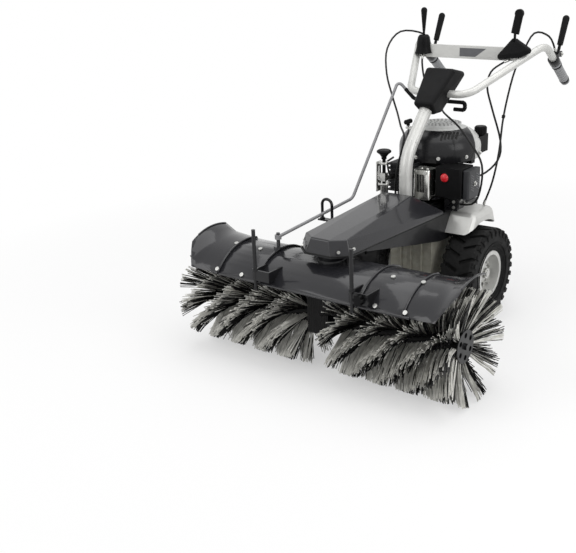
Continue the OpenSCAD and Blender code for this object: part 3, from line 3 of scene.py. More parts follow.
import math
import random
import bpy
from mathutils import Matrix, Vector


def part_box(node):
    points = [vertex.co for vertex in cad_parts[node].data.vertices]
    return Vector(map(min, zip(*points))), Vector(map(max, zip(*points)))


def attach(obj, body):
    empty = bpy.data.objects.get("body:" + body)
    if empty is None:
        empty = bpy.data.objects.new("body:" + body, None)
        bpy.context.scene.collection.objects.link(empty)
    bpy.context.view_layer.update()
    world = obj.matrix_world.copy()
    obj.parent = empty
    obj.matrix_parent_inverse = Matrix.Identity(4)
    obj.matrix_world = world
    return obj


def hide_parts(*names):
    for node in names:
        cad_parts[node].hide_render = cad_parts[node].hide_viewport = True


bl_info = {
    "name": "Power Brush Sweeper",
    "version": (1, 0, 0),
    "blender": (4, 5, 0),
    "location": "View3D > Sidebar > Sweeper",
    "description": "Dresses the packed sweeper with finishes, bristles, cables and fittings",
    "category": "Object",
}

import bmesh
import bpy
from mathutils import Matrix, Vector

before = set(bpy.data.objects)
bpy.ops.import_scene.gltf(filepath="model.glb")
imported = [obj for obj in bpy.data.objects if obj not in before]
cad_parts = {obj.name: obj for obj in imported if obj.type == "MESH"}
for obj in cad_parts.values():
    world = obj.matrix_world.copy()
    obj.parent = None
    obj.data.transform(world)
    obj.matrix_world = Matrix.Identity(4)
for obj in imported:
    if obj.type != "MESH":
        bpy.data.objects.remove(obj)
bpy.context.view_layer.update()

MM = 0.001
TYRE_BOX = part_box("tyre_left")
AXLE_Y = (TYRE_BOX[0].y + TYRE_BOX[1].y) / 2
AXLE_Z = (TYRE_BOX[0].z + TYRE_BOX[1].z) / 2
WHEEL_X = (TYRE_BOX[0].x + TYRE_BOX[1].x) / 2
# The brush turns about this line, in millimetres from the axle
BRUSH_Y = -626.0
BRUSH_Z = 177.0
SIDES = (("left", 1), ("right", -1))
UP, DOWN = (0, 0, 1), (0, 0, -1)
FRONT, REAR = (0, -1, 0), (0, 1, 0)
LEFT = (1, 0, 0)
WHITE = (1, 1, 1, 1)
# Noise seldom leaves this range, which is stretched to a full one
NOISE = {"From Min": 0.3, "From Max": 0.7}
PAINT_IOR, COAT_ROUGH, BUMP = 1.5, 0.08, 0.6
# Patches of gloss are wider than blotches of colour, so their noise has this share of the scale
GLOSS_SHARE = 0.37
# Edges of CAD nodes are softened where they are sharper than this, after points this near are joined
SHARP_FROM, WELD_GAP = math.radians(40), 0.01


def hex_rgb(text):
    """Linear colour of an sRGB hex value."""
    parts = [int(text[i : i + 2], 16) / 255 for i in (1, 3, 5)]
    return tuple(c / 12.92 if c <= 0.04045 else ((c + 0.055) / 1.055) ** 2.4 for c in parts)


def at(x, y, z):
    """A point given in millimetres from the middle of the axle on the ground."""
    return Vector((x * MM, y * MM + AXLE_Y, z * MM))


def tone(name, text, words):
    """A colour that a user may change."""
    return bpy.props.FloatVectorProperty(
        name=name, description=words, subtype="COLOR", size=3, min=0.0, max=1.0, default=hex_rgb(text)
    )


class SweeperColours(bpy.types.PropertyGroup):
    """Colours of the finishes"""

    charcoal: tone("Charcoal", "#252528", "Enamel of the hood, the fenders and the belt cover")
    silver: tone("Silver", "#c6c6c3", "Powder coat of the tubes and the mudguards")
    black_enamel: tone("Black enamel", "#141416", "Enamel of the frame and the hooks")
    grey_enamel: tone("Grey enamel", "#8e8e90", "Enamel of the push rod")
    case: tone("Gear case", "#8b897e", "Paint of the gear case")
    engine_black: tone("Engine black", "#1c1c1e", "Paint of the cast engine")
    cowl: tone("Cowl", "#19191b", "Moulded engine cowl")
    housing: tone("Starter housing", "#c6c7c5", "Moulded starter housing")
    plastic: tone("Black plastic", "#0d0d0e", "Moulded console, levers and knobs")
    grey_plastic: tone("Grey plastic", "#5f6063", "Moulded louvres and bare plate")
    filter_plastic: tone("Filter plastic", "#242528", "Moulded filter cover")
    rubber: tone("Rubber", "#141414", "Tyres, flap and belt")
    grip: tone("Grip", "#87888a", "Ribbed hand grips")
    primer: tone("Primer", "#c8101f", "Soft primer bulb")
    pale_fibre: tone("Pale fibre", "#d3d2cc", "Pale bristles")
    dark_fibre: tone("Dark fibre", "#0b0b0b", "Black bristles")
    zinc: tone("Zinc", "#c3c3c0", "Plating of bolts, axles and brackets")
    steel: tone("Steel", "#77777a", "Pulleys under the belt cover")
    aluminium: tone("Aluminium", "#d3d3cf", "Guard of the silencer")
    die_cast_zinc: tone("Die cast zinc", "#a2a29e", "Carburettor")


class SweeperBrush(bpy.types.PropertyGroup):
    """Sizes of the bristle rolls"""

    rings: bpy.props.IntProperty(
        name="Rings", description="Rings of tufts on a roll", default=24, min=8, max=40
    )
    rows: bpy.props.IntProperty(
        name="Rows", description="Spiral rows of tufts on a roll", default=10, min=4, max=24
    )
    pale: bpy.props.IntProperty(
        name="Pale", description="Pale strands in a tuft", default=12, min=3, max=24
    )
    dark: bpy.props.IntProperty(
        name="Dark", description="Black strands beside them", default=8, min=0, max=24
    )
    thickness: bpy.props.FloatProperty(
        name="Thickness", description="Width of a strand", default=2.8 * MM, unit="LENGTH"
    )
    aside: bpy.props.FloatProperty(
        name="Aside",
        description="From the pale strands to the black ones",
        default=math.radians(9),
        subtype="ANGLE",
    )
    turn: bpy.props.FloatProperty(
        name="Turn",
        description="How far each ring is turned on the next",
        default=math.radians(6.6),
        subtype="ANGLE",
    )


class SweeperStage(bpy.types.PropertyGroup):
    """Camera, floor and light"""

    lens: bpy.props.FloatProperty(name="Lens", description="Focal length in millimetres", default=58.94)
    azimuth: bpy.props.FloatProperty(
        name="Azimuth",
        description="Turn of the camera round the part",
        default=math.radians(38.22),
        subtype="ANGLE",
    )
    elevation: bpy.props.FloatProperty(
        name="Elevation",
        description="Camera's angle above level",
        default=math.radians(19.87),
        subtype="ANGLE",
    )
    roll: bpy.props.FloatProperty(
        name="Roll", description="Camera's tilt", default=math.radians(-2.18), subtype="ANGLE"
    )
    floor: bpy.props.FloatProperty(
        name="Floor", description="Side of the floor", default=80.0, unit="LENGTH"
    )
    world: bpy.props.FloatProperty(
        name="World", description="Strength of the even light", default=0.52, min=0.0
    )


def add_node(tree, kind, inputs=None, **settings):
    """Adds a node, sets its values and links its inputs."""
    made = tree.nodes.new(kind)
    for key, value in settings.items():
        setattr(made, key, value)
    for key, value in (inputs or {}).items():
        if isinstance(value, bpy.types.NodeSocket):
            tree.links.new(value, made.inputs[key])
        else:
            made.inputs[key].default_value = value
    return made


def seen_rays(tree):
    """One for the rays that show a thing to the camera, in a mirror or through glass."""
    rays = add_node(tree, "ShaderNodeLightPath").outputs
    seen = add_node(tree, "ShaderNodeMath", {0: rays["Is Camera Ray"], 1: rays["Is Glossy Ray"]})
    seen = add_node(
        tree, "ShaderNodeMath", {0: seen.outputs[0], 1: rays["Is Transmission Ray"]}, use_clamp=True
    )
    return seen.outputs[0]


def rgba(colour, share=1.0):
    """A colour with alpha, darkened or lightened by a share."""
    return (*[min(1.0, c * share) for c in colour], 1.0)


def finish(
    name, colour, swing, blotch, rough, rough_swing, grain, relief,
    metal=0.0, coat=0.0, shine=0.4, stretch=(1, 1, 1),
):
    """A finish of blotches in two close tones, uneven gloss and a fine relief; sizes in millimetres."""
    found = bpy.data.materials.get(name)
    if found:
        return found
    made = bpy.data.materials.new(name)
    made.use_nodes = True
    tree = made.node_tree
    shader = tree.nodes["Principled BSDF"]
    shader.inputs["Metallic"].default_value = metal
    if not metal:
        shader.inputs["IOR"].default_value = PAINT_IOR
        shader.inputs["Specular IOR Level"].default_value = shine
    shader.inputs["Coat Weight"].default_value = coat
    shader.inputs["Coat Roughness"].default_value = COAT_ROUGH
    where = add_node(tree, "ShaderNodeTexCoord").outputs["Object"]
    place = add_node(tree, "ShaderNodeMapping", {0: where, "Scale": stretch}).outputs[0]
    fine = 1 / (blotch * MM)
    blotches = add_node(tree, "ShaderNodeTexNoise", {"Vector": place, "Scale": fine, "Detail": 5.0})
    spread = add_node(tree, "ShaderNodeMapRange", {"Value": blotches.outputs[0], **NOISE})
    mix = add_node(
        tree,
        "ShaderNodeMix",
        {0: spread.outputs[0], 6: rgba(colour, 1 - swing), 7: rgba(colour, 1 + swing)},
        data_type="RGBA",
    )
    tree.links.new(mix.outputs[2], shader.inputs["Base Color"])
    wider = GLOSS_SHARE / (blotch * MM)
    gloss = add_node(tree, "ShaderNodeTexNoise", {"Vector": place, "Scale": wider, "Detail": 6.0})
    uneven = add_node(
        tree,
        "ShaderNodeMapRange",
        {
            "Value": gloss.outputs[0],
            **NOISE,
            "To Min": rough - rough_swing,
            "To Max": rough + rough_swing,
        },
    )
    tree.links.new(uneven.outputs[0], shader.inputs["Roughness"])
    grit = add_node(tree, "ShaderNodeTexNoise", {"Vector": place, "Scale": 1 / (grain * MM), "Detail": 2.0})
    bump = add_node(
        tree, "ShaderNodeBump", {"Height": grit.outputs[0], "Strength": BUMP, "Distance": relief * MM}
    )
    tree.links.new(bump.outputs[0], shader.inputs["Normal"])
    return made


def charcoal_enamel():
    # Stoved enamel on pressed sheet: clear gloss, a faint orange peel some 6 mm wide
    return finish(
        "charcoal_enamel", colours().charcoal,
        swing=0.06, blotch=60, rough=0.22, rough_swing=0.05, grain=6, relief=0.06, coat=0.45, shine=0.2,
    )


def silver_powder_coat():
    # Powder coat on steel tube: pale and even, satin
    # Its fine pebble is drawn at 7 mm, because one of 2 mm would only sparkle
    return finish(
        "silver_powder_coat", colours().silver,
        swing=0.04, blotch=35, rough=0.38, rough_swing=0.06, grain=7, relief=0.06, metal=0.35,
    )


def black_enamel():
    # Black enamel on steel bar: dark and smooth, with an uneven gloss
    return finish(
        "black_enamel", colours().black_enamel,
        swing=0.15, blotch=25, rough=0.34, rough_swing=0.08, grain=3, relief=0.05, coat=0.15, shine=0.25,
    )


def grey_enamel():
    # Grey enamel on drawn rod: even and satin
    return finish(
        "grey_enamel", colours().grey_enamel,
        swing=0.08, blotch=30, rough=0.4, rough_swing=0.08, grain=3, relief=0.05,
    )


def cast_case_paint():
    # Grey-olive paint on a sand casting: matt with a coarse grain of 3 mm
    return finish(
        "cast_case_paint", colours().case,
        swing=0.14, blotch=18, rough=0.6, rough_swing=0.1, grain=3, relief=0.35,
    )


def engine_casting():
    # Black paint on die cast aluminium: matt, fine grain, worn a little
    return finish(
        "engine_casting", colours().engine_black,
        swing=0.25, blotch=12, rough=0.5, rough_swing=0.1, grain=2, relief=0.2, shine=0.2,
    )


def cowl_plastic():
    # Moulded polypropylene cowl: smooth and semi-gloss
    return finish(
        "moulded_cowl_polypropylene", colours().cowl,
        swing=0.06, blotch=40, rough=0.28, rough_swing=0.05, grain=1.6, relief=0.04, coat=0.1, shine=0.25,
    )


def housing_plastic():
    # Pale grey moulded housing: satin with a fine spark-eroded texture
    return finish(
        "moulded_pale_housing", colours().housing,
        swing=0.05, blotch=30, rough=0.45, rough_swing=0.06, grain=1.2, relief=0.06,
    )


def black_plastic():
    # Moulded ABS: near black, satin, with a leather-like grain of about 1.5 mm
    return finish(
        "moulded_black_abs", colours().plastic,
        swing=0.2, blotch=22, rough=0.48, rough_swing=0.08, grain=1.5, relief=0.12, shine=0.1,
    )


def grey_plastic():
    # Moulded grey ABS: satin with a fine grain
    return finish(
        "moulded_grey_abs", colours().grey_plastic,
        swing=0.06, blotch=25, rough=0.4, rough_swing=0.07, grain=1.4, relief=0.1,
    )


def filter_plastic():
    # Dark grey ABS from a spark-eroded mould: fine even grain that spreads the light
    return finish(
        "moulded_dark_grey_abs", colours().filter_plastic,
        swing=0.08, blotch=25, rough=0.42, rough_swing=0.08, grain=1.4, relief=0.12,
    )


def tyre_rubber():
    # Vulcanised rubber: deep black, dusty in blotches, rough
    return finish(
        "vulcanised_tyre_rubber", colours().rubber,
        swing=0.45, blotch=14, rough=0.72, rough_swing=0.12, grain=2.5, relief=0.3, shine=0.2,
    )


def moulded_rubber():
    # Extruded rubber or sheath: black and dull
    return finish(
        "moulded_rubber", colours().rubber,
        swing=0.2, blotch=10, rough=0.5, rough_swing=0.1, grain=1.5, relief=0.1, shine=0.2,
    )


def grip_rubber():
    # Moulded grip: silver-grey and glossy, its fine grain drawn at 5 mm so that it doesn't sparkle
    return finish(
        "grip_rubber", colours().grip,
        swing=0.08, blotch=18, rough=0.3, rough_swing=0.06, grain=5, relief=0.06, coat=0.3,
    )


def starter_cord():
    # Braided nylon rope: black, mottled at about 1 mm as its weave is
    return finish(
        "starter_cord", colours().rubber,
        swing=0.5, blotch=1.2, rough=0.7, rough_swing=0.1, grain=1, relief=0.3,
    )


def primer_rubber():
    # Soft red bulb: smooth and a little glossy
    return finish(
        "primer_rubber", colours().primer,
        swing=0.08, blotch=8, rough=0.3, rough_swing=0.05, grain=2, relief=0.05, coat=0.3,
    )


def zinc_steel():
    # Zinc plated steel: bright with cloudy patches
    return finish(
        "zinc_steel", colours().zinc,
        swing=0.12, blotch=9, rough=0.28, rough_swing=0.1, grain=1.2, relief=0.04, metal=1.0,
    )


def bare_steel():
    # Turned steel: darker than zinc, with soft patches
    return finish(
        "bare_steel", colours().steel,
        swing=0.2, blotch=12, rough=0.36, rough_swing=0.1, grain=1, relief=0.05, metal=1.0,
    )


def pressed_aluminium():
    # Pressed bright guard: streaked across by rolling
    return finish(
        "pressed_aluminium", colours().aluminium,
        swing=0.1, blotch=20, rough=0.24, rough_swing=0.08, grain=1.5, relief=0.05,
        metal=1.0, stretch=(1, 1, 0.15),
    )


def carburettor_metal():
    # Die cast zinc: grey and grainy
    return finish(
        "die_cast_zinc", colours().die_cast_zinc,
        swing=0.1, blotch=10, rough=0.45, rough_swing=0.1, grain=1.2, relief=0.12, metal=0.9,
    )


def pale_fibre():
    # Crimped polypropylene fibre: grey-white and dull
    return finish(
        "pale_fibre", colours().pale_fibre,
        swing=0.28, blotch=26, rough=0.55, rough_swing=0.1, grain=6, relief=0.05,
    )


def dark_fibre():
    # Black polypropylene fibre with a slight shine
    return finish(
        "dark_fibre", colours().dark_fibre,
        swing=0.4, blotch=26, rough=0.4, rough_swing=0.1, grain=6, relief=0.05, shine=0.25,
    )


def colours():
    return bpy.context.scene.sweeper_colours


def dress(material, *nodes, edge=0.0):
    """Gives a finish to CAD nodes and softens their edges by so many millimetres."""
    for name in nodes:
        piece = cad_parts[name]
        piece.data.materials.clear()
        piece.data.materials.append(material)
        if edge:
            weld = piece.modifiers.new("weld", "WELD")
            weld.merge_threshold = WELD_GAP * MM
            bevel = piece.modifiers.new("soft_edges", "BEVEL")
            bevel.width = edge * MM
            bevel.segments = 2
            bevel.limit_method = "ANGLE"
            bevel.angle_limit = SHARP_FROM
            bevel.harden_normals = True


def piece_of(name, body, material, fill):
    """A new mesh piece that fill draws into a bmesh."""
    mesh = bpy.data.meshes.new(name)
    shape = bmesh.new()
    fill(shape)
    shape.to_mesh(mesh)
    shape.free()
    made = bpy.data.objects.new(name, mesh)
    bpy.context.scene.collection.objects.link(made)
    for each in material if isinstance(material, (list, tuple)) else [material]:
        mesh.materials.append(each)
    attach(made, body)
    return made


def stood(spot, axis):
    """Matrix that stands a piece's z axis along axis at spot."""
    return Matrix.Translation(spot) @ Vector(axis).to_track_quat("Z", "Y").to_matrix().to_4x4()


def stud(shape, spot, axis, radius, height, sides=24, top=None, deep=1.0):
    """A turned stud or hexagon that stands on spot and is sunk a little; sizes in millimetres."""
    middle = Matrix.Translation((0, 0, (height - deep) / 2 * MM))
    bmesh.ops.create_cone(
        shape,
        cap_ends=True,
        segments=sides,
        radius1=radius * MM,
        radius2=(radius if top is None else top) * MM,
        depth=(height + deep) * MM,
        matrix=stood(spot, axis) @ middle,
    )


def bolt(shape, spot, axis, size):
    """A flanged hexagon head; size is the hexagon's radius in millimetres."""
    stud(shape, spot, axis, size * 1.45, size * 0.4)
    stud(shape, spot, axis, size, size * 1.2, sides=6, top=size * 0.93)


def hoop(shape, spot, axis, radius, thick, steps=40, sides=10):
    """A round ring about axis; sizes in millimetres."""
    place = stood(spot, axis)
    across = place @ Matrix.Translation((radius * MM, 0, 0)) @ Matrix.Rotation(math.pi / 2, 4, "X")
    made = bmesh.ops.create_circle(shape, segments=sides, radius=thick * MM, matrix=across)["verts"]
    edges = {edge for vert in made for edge in vert.link_edges}
    bmesh.ops.spin(
        shape,
        geom=[*made, *edges],
        cent=spot,
        axis=Vector(axis).normalized(),
        angle=math.tau,
        steps=steps,
        use_merge=True,
    )


def wire(shape, points, radius, sides=10):
    """A bent round wire through points; radius in millimetres."""
    for here, there in zip(points, points[1:]):
        stud(shape, here, there - here, radius, (there - here).length / MM, sides, deep=0.0)
    for spot in points:
        place = Matrix.Translation(spot)
        bmesh.ops.create_icosphere(shape, subdivisions=2, radius=radius * MM, matrix=place)


def plate(shape, place, sizes, corner):
    """A flat plate with rounded edges; sizes in millimetres."""
    scale = Matrix.Diagonal((*[s * MM for s in sizes], 1))
    made = bmesh.ops.create_cube(shape, size=1.0, matrix=place @ scale)["verts"]
    edges = list({edge for vert in made for edge in vert.link_edges})
    bmesh.ops.bevel(
        shape, geom=edges, offset=corner * MM, segments=3, profile=0.5, affect="EDGES", material=-1
    )


class SWEEPER_OT_stage(bpy.types.Operator):
    """Camera, pale floor and soft light"""

    bl_idname = "sweeper.stage"
    bl_label = "Stage"

    # Where the camera stands, in millimetres from the axle, and its film and sight
    CAMERA_SPOT, FILM_WIDE, SIGHT = (1609, -2892, 1312), 36, 200
    # The floor glows a little near the part, to keep its shadow, and fully further off; in metres
    FLOOR_TONE, NEAR, FAR, NEAR_GLOW = "#f4f4f4", 0.5, 2.2, 0.45
    # Place, aim, side in metres and power in watts of each lamp
    LAMPS = {
        "overhead_softbox": ((0.3, 0.2, 3.4), (0, 0, 0.4), 3.6, 62),
        "front_softbox": ((-1.6, -3.2, 2.2), (0, -0.2, 0.4), 2.2, 34),
        "side_softbox": ((3.4, -0.6, 2.0), (0, 0, 0.5), 2.2, 36),
    }

    def execute(self, context):
        stage = context.scene.sweeper_stage
        self.camera(context, stage.lens, stage.azimuth, stage.elevation, stage.roll)
        self.floor(context, stage.floor)
        self.lights(context)
        self.world(context, stage.world)
        context.scene.view_settings.view_transform = "Standard"
        return {"FINISHED"}

    def camera(self, context, focal, turn, rise, tilt):
        side = Vector((math.cos(turn), math.sin(turn), 0))
        back = Vector((math.sin(turn) * math.cos(rise), -math.cos(turn) * math.cos(rise), math.sin(rise)))
        over = back.cross(side)
        right = math.cos(tilt) * side + math.sin(tilt) * over
        up = math.cos(tilt) * over - math.sin(tilt) * side
        lens = bpy.data.cameras.new("camera")
        lens.lens = focal
        lens.sensor_width = self.FILM_WIDE
        lens.clip_end = self.SIGHT
        camera = bpy.data.objects.new("camera", lens)
        context.scene.collection.objects.link(camera)
        turned = Matrix((right, up, back)).transposed().to_4x4()
        camera.matrix_world = Matrix.Translation(at(*self.CAMERA_SPOT)) @ turned
        context.scene.camera = camera

    def floor(self, context, side):
        mesh = bpy.data.meshes.new("floor")
        shape = bmesh.new()
        bmesh.ops.create_grid(shape, x_segments=1, y_segments=1, size=side / 2)
        shape.to_mesh(mesh)
        shape.free()
        floor = bpy.data.objects.new("floor", mesh)
        context.scene.collection.objects.link(floor)
        # Plain pale studio floor: it keeps the shadow, and turns to white away from the part
        pale = bpy.data.materials.new("studio_floor")
        pale.use_nodes = True
        tree = pale.node_tree
        tree.nodes.clear()
        cloth = add_node(tree, "ShaderNodeBsdfDiffuse", {"Color": rgba(hex_rgb(self.FLOOR_TONE))})
        glow = add_node(tree, "ShaderNodeEmission", {"Color": WHITE, "Strength": 1.0})
        seen = seen_rays(tree)
        where = add_node(tree, "ShaderNodeTexCoord").outputs["Object"]
        away = add_node(tree, "ShaderNodeVectorMath", {0: where}, operation="LENGTH")
        reach = {"From Min": self.NEAR, "From Max": self.FAR, "To Min": self.NEAR_GLOW, "To Max": 1.0}
        far = add_node(tree, "ShaderNodeMapRange", {"Value": away.outputs["Value"], **reach})
        share = add_node(tree, "ShaderNodeMath", {0: seen, 1: far.outputs[0]}, operation="MULTIPLY")
        mixed = add_node(
            tree, "ShaderNodeMixShader", {0: share.outputs[0], 1: cloth.outputs[0], 2: glow.outputs[0]}
        )
        add_node(tree, "ShaderNodeOutputMaterial", {"Surface": mixed.outputs[0]})
        mesh.materials.append(pale)

    def lights(self, context):
        for name, (where, aim, size, watts) in self.LAMPS.items():
            lamp = bpy.data.lights.new(name, "AREA")
            lamp.shape = "SQUARE"
            lamp.size = size
            lamp.energy = watts
            made = bpy.data.objects.new(name, lamp)
            context.scene.collection.objects.link(made)
            made.location = where
            made.rotation_mode = "QUATERNION"
            made.rotation_quaternion = (Vector(aim) - Vector(where)).to_track_quat("-Z", "Y")

    def world(self, context, strength):
        sky = bpy.data.worlds.new("studio")
        context.scene.world = sky
        sky.use_nodes = True
        tree = sky.node_tree
        tree.nodes.clear()
        light = add_node(tree, "ShaderNodeBackground", {"Color": WHITE, "Strength": strength})
        white = add_node(tree, "ShaderNodeBackground", {"Color": WHITE, "Strength": 1.0})
        seen = seen_rays(tree)
        mixed = add_node(tree, "ShaderNodeMixShader", {0: seen, 1: light.outputs[0], 2: white.outputs[0]})
        add_node(tree, "ShaderNodeOutputWorld", {"Surface": mixed.outputs[0]})


class SWEEPER_OT_sheet_metal(bpy.types.Operator):
    """Hood, fenders, belt cover, frame and mudguards"""

    bl_idname = "sweeper.sheet_metal"
    bl_label = "Sheet metal"

    def execute(self, context):
        dress(charcoal_enamel(), "belt_cover", "hood_centre", "inner_fenders", "fender_wings", edge=0.6)
        dress(black_enamel(), "main_frame", "collector_hooks", "rod_guide", "brush_gearbox", edge=0.5)
        dress(silver_powder_coat(), "mudguards", edge=0.6)
        dress(cast_case_paint(), "transmission_case", edge=1.5)
        dress(zinc_steel(), "fender_bolts", "height_bracket", "height_slider", edge=0.5)
        dress(grey_enamel(), "swivel_rod")
        dress(black_plastic(), "hook_knob", "height_knob", "rod_handle", edge=0.8)
        dress(bare_steel(), "crank_pulley", "input_pulley")
        dress(black_enamel(), "brush_shaft", edge=0.6)
        dress(moulded_rubber(), "drive_belt")
        return {"FINISHED"}


class SWEEPER_OT_engine(bpy.types.Operator):
    """Engine with its covers, silencer, filter and tank"""

    bl_idname = "sweeper.engine"
    bl_label = "Engine"

    def execute(self, context):
        dress(engine_casting(), "engine_block", edge=0.7)
        dress(cowl_plastic(), "engine_cowl", edge=0.7)
        dress(housing_plastic(), "starter_housing", edge=0.7)
        dress(black_plastic(), "fuel_tank", "fuel_cap", "air_filter_base", "starter_grip", edge=0.6)
        dress(filter_plastic(), "air_filter_cover")
        dress(engine_casting(), "muffler")
        dress(pressed_aluminium(), "muffler_guard", edge=0.4)
        dress(carburettor_metal(), "carburettor")
        dress(primer_rubber(), "primer_bulb")
        return {"FINISHED"}


class SWEEPER_OT_handlebar(bpy.types.Operator):
    """Post, handlebar, console, levers and grips"""

    bl_idname = "sweeper.handlebar"
    bl_label = "Handlebar"

    # Grips lie this far from the middle and slope down to the rear
    GRIP_X, GRIP_SLOPE = 253.0, Vector((0, 0.7916, -0.611))
    COLLAR_AT, COLLAR_IN, CAP_AT = (438.4, 844.6), 8.0, (535.0, 770.0)
    PIVOT_AT, PIVOT_OUT = (455.0, 875.0), 14.0

    def execute(self, context):
        dress(silver_powder_coat(), "handlebar", "handlebar_post")
        dress(silver_powder_coat(), "crossbar", edge=0.6)
        dress(black_plastic(), "console_front", "console_rear", "gear_boot", "throttle_boot")
        dress(black_plastic(), "clutch_lever_left", "clutch_lever_right", "gear_lever", "throttle_lever")
        dress(grip_rubber(), "hand_grips")
        dress(black_enamel(), "lever_brackets", edge=0.5)
        piece_of("grip_rings", "chassis", black_plastic(), self.rings)
        piece_of("lever_pivots", "chassis", zinc_steel(), self.pivots)
        return {"FINISHED"}

    def rings(self, shape):
        slope = self.GRIP_SLOPE
        for sign in (-1, 1):
            collar = at(sign * self.GRIP_X, *self.COLLAR_AT) + slope * self.COLLAR_IN * MM
            stud(shape, collar, slope, radius=19, height=9, deep=0)
            cap = at(sign * self.GRIP_X, *self.CAP_AT)
            stud(shape, cap, slope, radius=17.8, height=1.5, top=16.5, deep=10)

    def pivots(self, shape):
        for sign in (-1, 1):
            for side in (-1, 1):
                spot = at(sign * self.GRIP_X + side * self.PIVOT_OUT, *self.PIVOT_AT)
                bolt(shape, spot, (side, 0, 0), size=5)


class SWEEPER_OT_wheels(bpy.types.Operator):
    """Tyres, rims and axles"""

    bl_idname = "sweeper.wheels"
    bl_label = "Wheels"

    def execute(self, context):
        for side in ("left", "right"):
            dress(tyre_rubber(), "tyre_" + side)
            dress(silver_powder_coat(), "rim_" + side)
            dress(zinc_steel(), "axle_" + side)
        return {"FINISHED"}


class SWEEPER_OT_bristles(bpy.types.Operator):
    """Two rolls of tufted bristles"""

    bl_idname = "sweeper.bristles"
    bl_label = "Bristles"

    ROLL_IN, ROLL_OUT, SLEEVE_R, TIP_R = 64.0, 462.0, 45.0, 176.0
    ROOT_SUNK, SLEEVE_SIDES = 2.0, 48
    # Strands lean outwards by FLARE at the outer end and inwards by IN_LEAN at the inner one,
    # and more towards their tips where LATE is above 1
    FLARE, IN_LEAN, LATE = 54.0, 4.0, 1.3
    # No strand passes the wings' ends
    END_X = 505.0
    # How far strands stray along the roll at root and tip, in length, in angle and in their bow
    ROOT_STRAY, TIP_STRAY, SHORT_STRAY, TURN_STRAY, BOW_STRAY = 8.0, 4.0, 3.5, 0.03, 0.012
    # Half of the angle that a pale and a black tuft take, and the share of strands of the other tone
    SPREADS, MIXED_IN = (0.075, 0.04), 0.07
    CORNERS = ((1, 0), (-0.5, 0.87), (-0.5, -0.87))

    def execute(self, context):
        draws = random.Random(7)
        for name, sign in SIDES:
            roll = piece_of(
                "bristle_strands_" + name,
                "brush",
                [pale_fibre(), dark_fibre()],
                lambda shape: self.roll(shape, context.scene.sweeper_brush, sign, draws),
            )
            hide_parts("bristles_" + name)
        return {"FINISHED"}

    def roll(self, shape, sizes, sign, draws):
        length = self.ROLL_OUT - self.ROLL_IN
        middle = at(sign * (self.ROLL_IN + length / 2), BRUSH_Y, BRUSH_Z)
        bmesh.ops.create_cone(
            shape,
            cap_ends=True,
            segments=self.SLEEVE_SIDES,
            radius1=self.SLEEVE_R * MM,
            radius2=self.SLEEVE_R * MM,
            depth=length * MM,
            matrix=Matrix.Translation(middle) @ Matrix.Rotation(math.pi / 2, 4, "Y"),
        )
        for face in shape.faces:
            face.material_index = 1
        for i in range(sizes.rings):
            ring = bmesh.new()
            share = (i + 0.5) / sizes.rings
            for j in range(sizes.rows):
                angle = math.tau * j / sizes.rows - sizes.turn * i * sign
                self.tuft(ring, sizes, sign, share, angle, 0, draws)
                self.tuft(ring, sizes, sign, share, angle + sizes.aside, 1, draws)
            flat = bpy.data.meshes.new("ring")
            ring.to_mesh(flat)
            ring.free()
            shape.from_mesh(flat)
            bpy.data.meshes.remove(flat)

    def tuft(self, ring, sizes, sign, share, angle, dark, draws):
        length = self.ROLL_OUT - self.ROLL_IN
        lean = share * (self.FLARE + self.IN_LEAN) - self.IN_LEAN
        middle = self.ROLL_IN + share * length
        spread = self.SPREADS[dark]
        root_r = self.SLEEVE_R - self.ROOT_SUNK
        for _ in range(sizes.dark if dark else sizes.pale):
            root_x = middle + draws.uniform(-self.ROOT_STRAY, self.ROOT_STRAY)
            tip_x = root_x + lean + draws.gauss(0, self.TIP_STRAY)
            root_a = angle + draws.uniform(-spread, spread)
            tip_a = root_a + draws.gauss(0, self.TURN_STRAY)
            tip_r = self.TIP_R - abs(draws.gauss(0, self.SHORT_STRAY))
            bow = draws.gauss(0, self.BOW_STRAY)
            points = []
            for step, s in enumerate((0.0, 0.5, 1.0)):
                r = root_r + (tip_r - root_r) * s
                x = root_x + (tip_x - root_x) * s**self.LATE
                turn = root_a + (tip_a - root_a) * s + (bow if step == 1 else 0)
                spot = (BRUSH_Y + r * math.cos(turn), BRUSH_Z + r * math.sin(turn))
                points.append(at(sign * min(x, self.END_X), *spot))
            other = draws.random() <= self.MIXED_IN
            self.strand(ring, points, sizes.thickness / 2, 1 - dark if other else dark)

    def strand(self, ring, points, half, dark):
        along = (points[-1] - points[0]).normalized()
        first = along.orthogonal().normalized()
        second = along.cross(first)
        start = [ring.verts.new(points[0] + (first * c + second * s) * half) for c, s in self.CORNERS]
        face = ring.faces.new(start)
        for here, there in zip(points, points[1:]):
            grown = bmesh.ops.extrude_discrete_faces(ring, faces=[face])["faces"][0]
            bmesh.ops.translate(ring, vec=there - here, verts=grown.verts)
            face = grown
        for found in {f for v in (*start, *face.verts) for f in v.link_faces}:
            found.material_index = dark


def cord_line(name, points, radius, material):
    """A round cord along points; radius in millimetres."""
    line = bpy.data.curves.new(name, "CURVE")
    line.dimensions = "3D"
    line.bevel_depth = radius * MM
    line.bevel_resolution = 3
    line.use_fill_caps = True
    spline = line.splines.new("POLY")
    spline.points.add(len(points) - 1)
    for spot, p in zip(spline.points, points):
        spot.co = (*p, 1)
    spline.use_smooth = True
    made = bpy.data.objects.new(name, line)
    bpy.context.scene.collection.objects.link(made)
    line.materials.append(material)
    return made


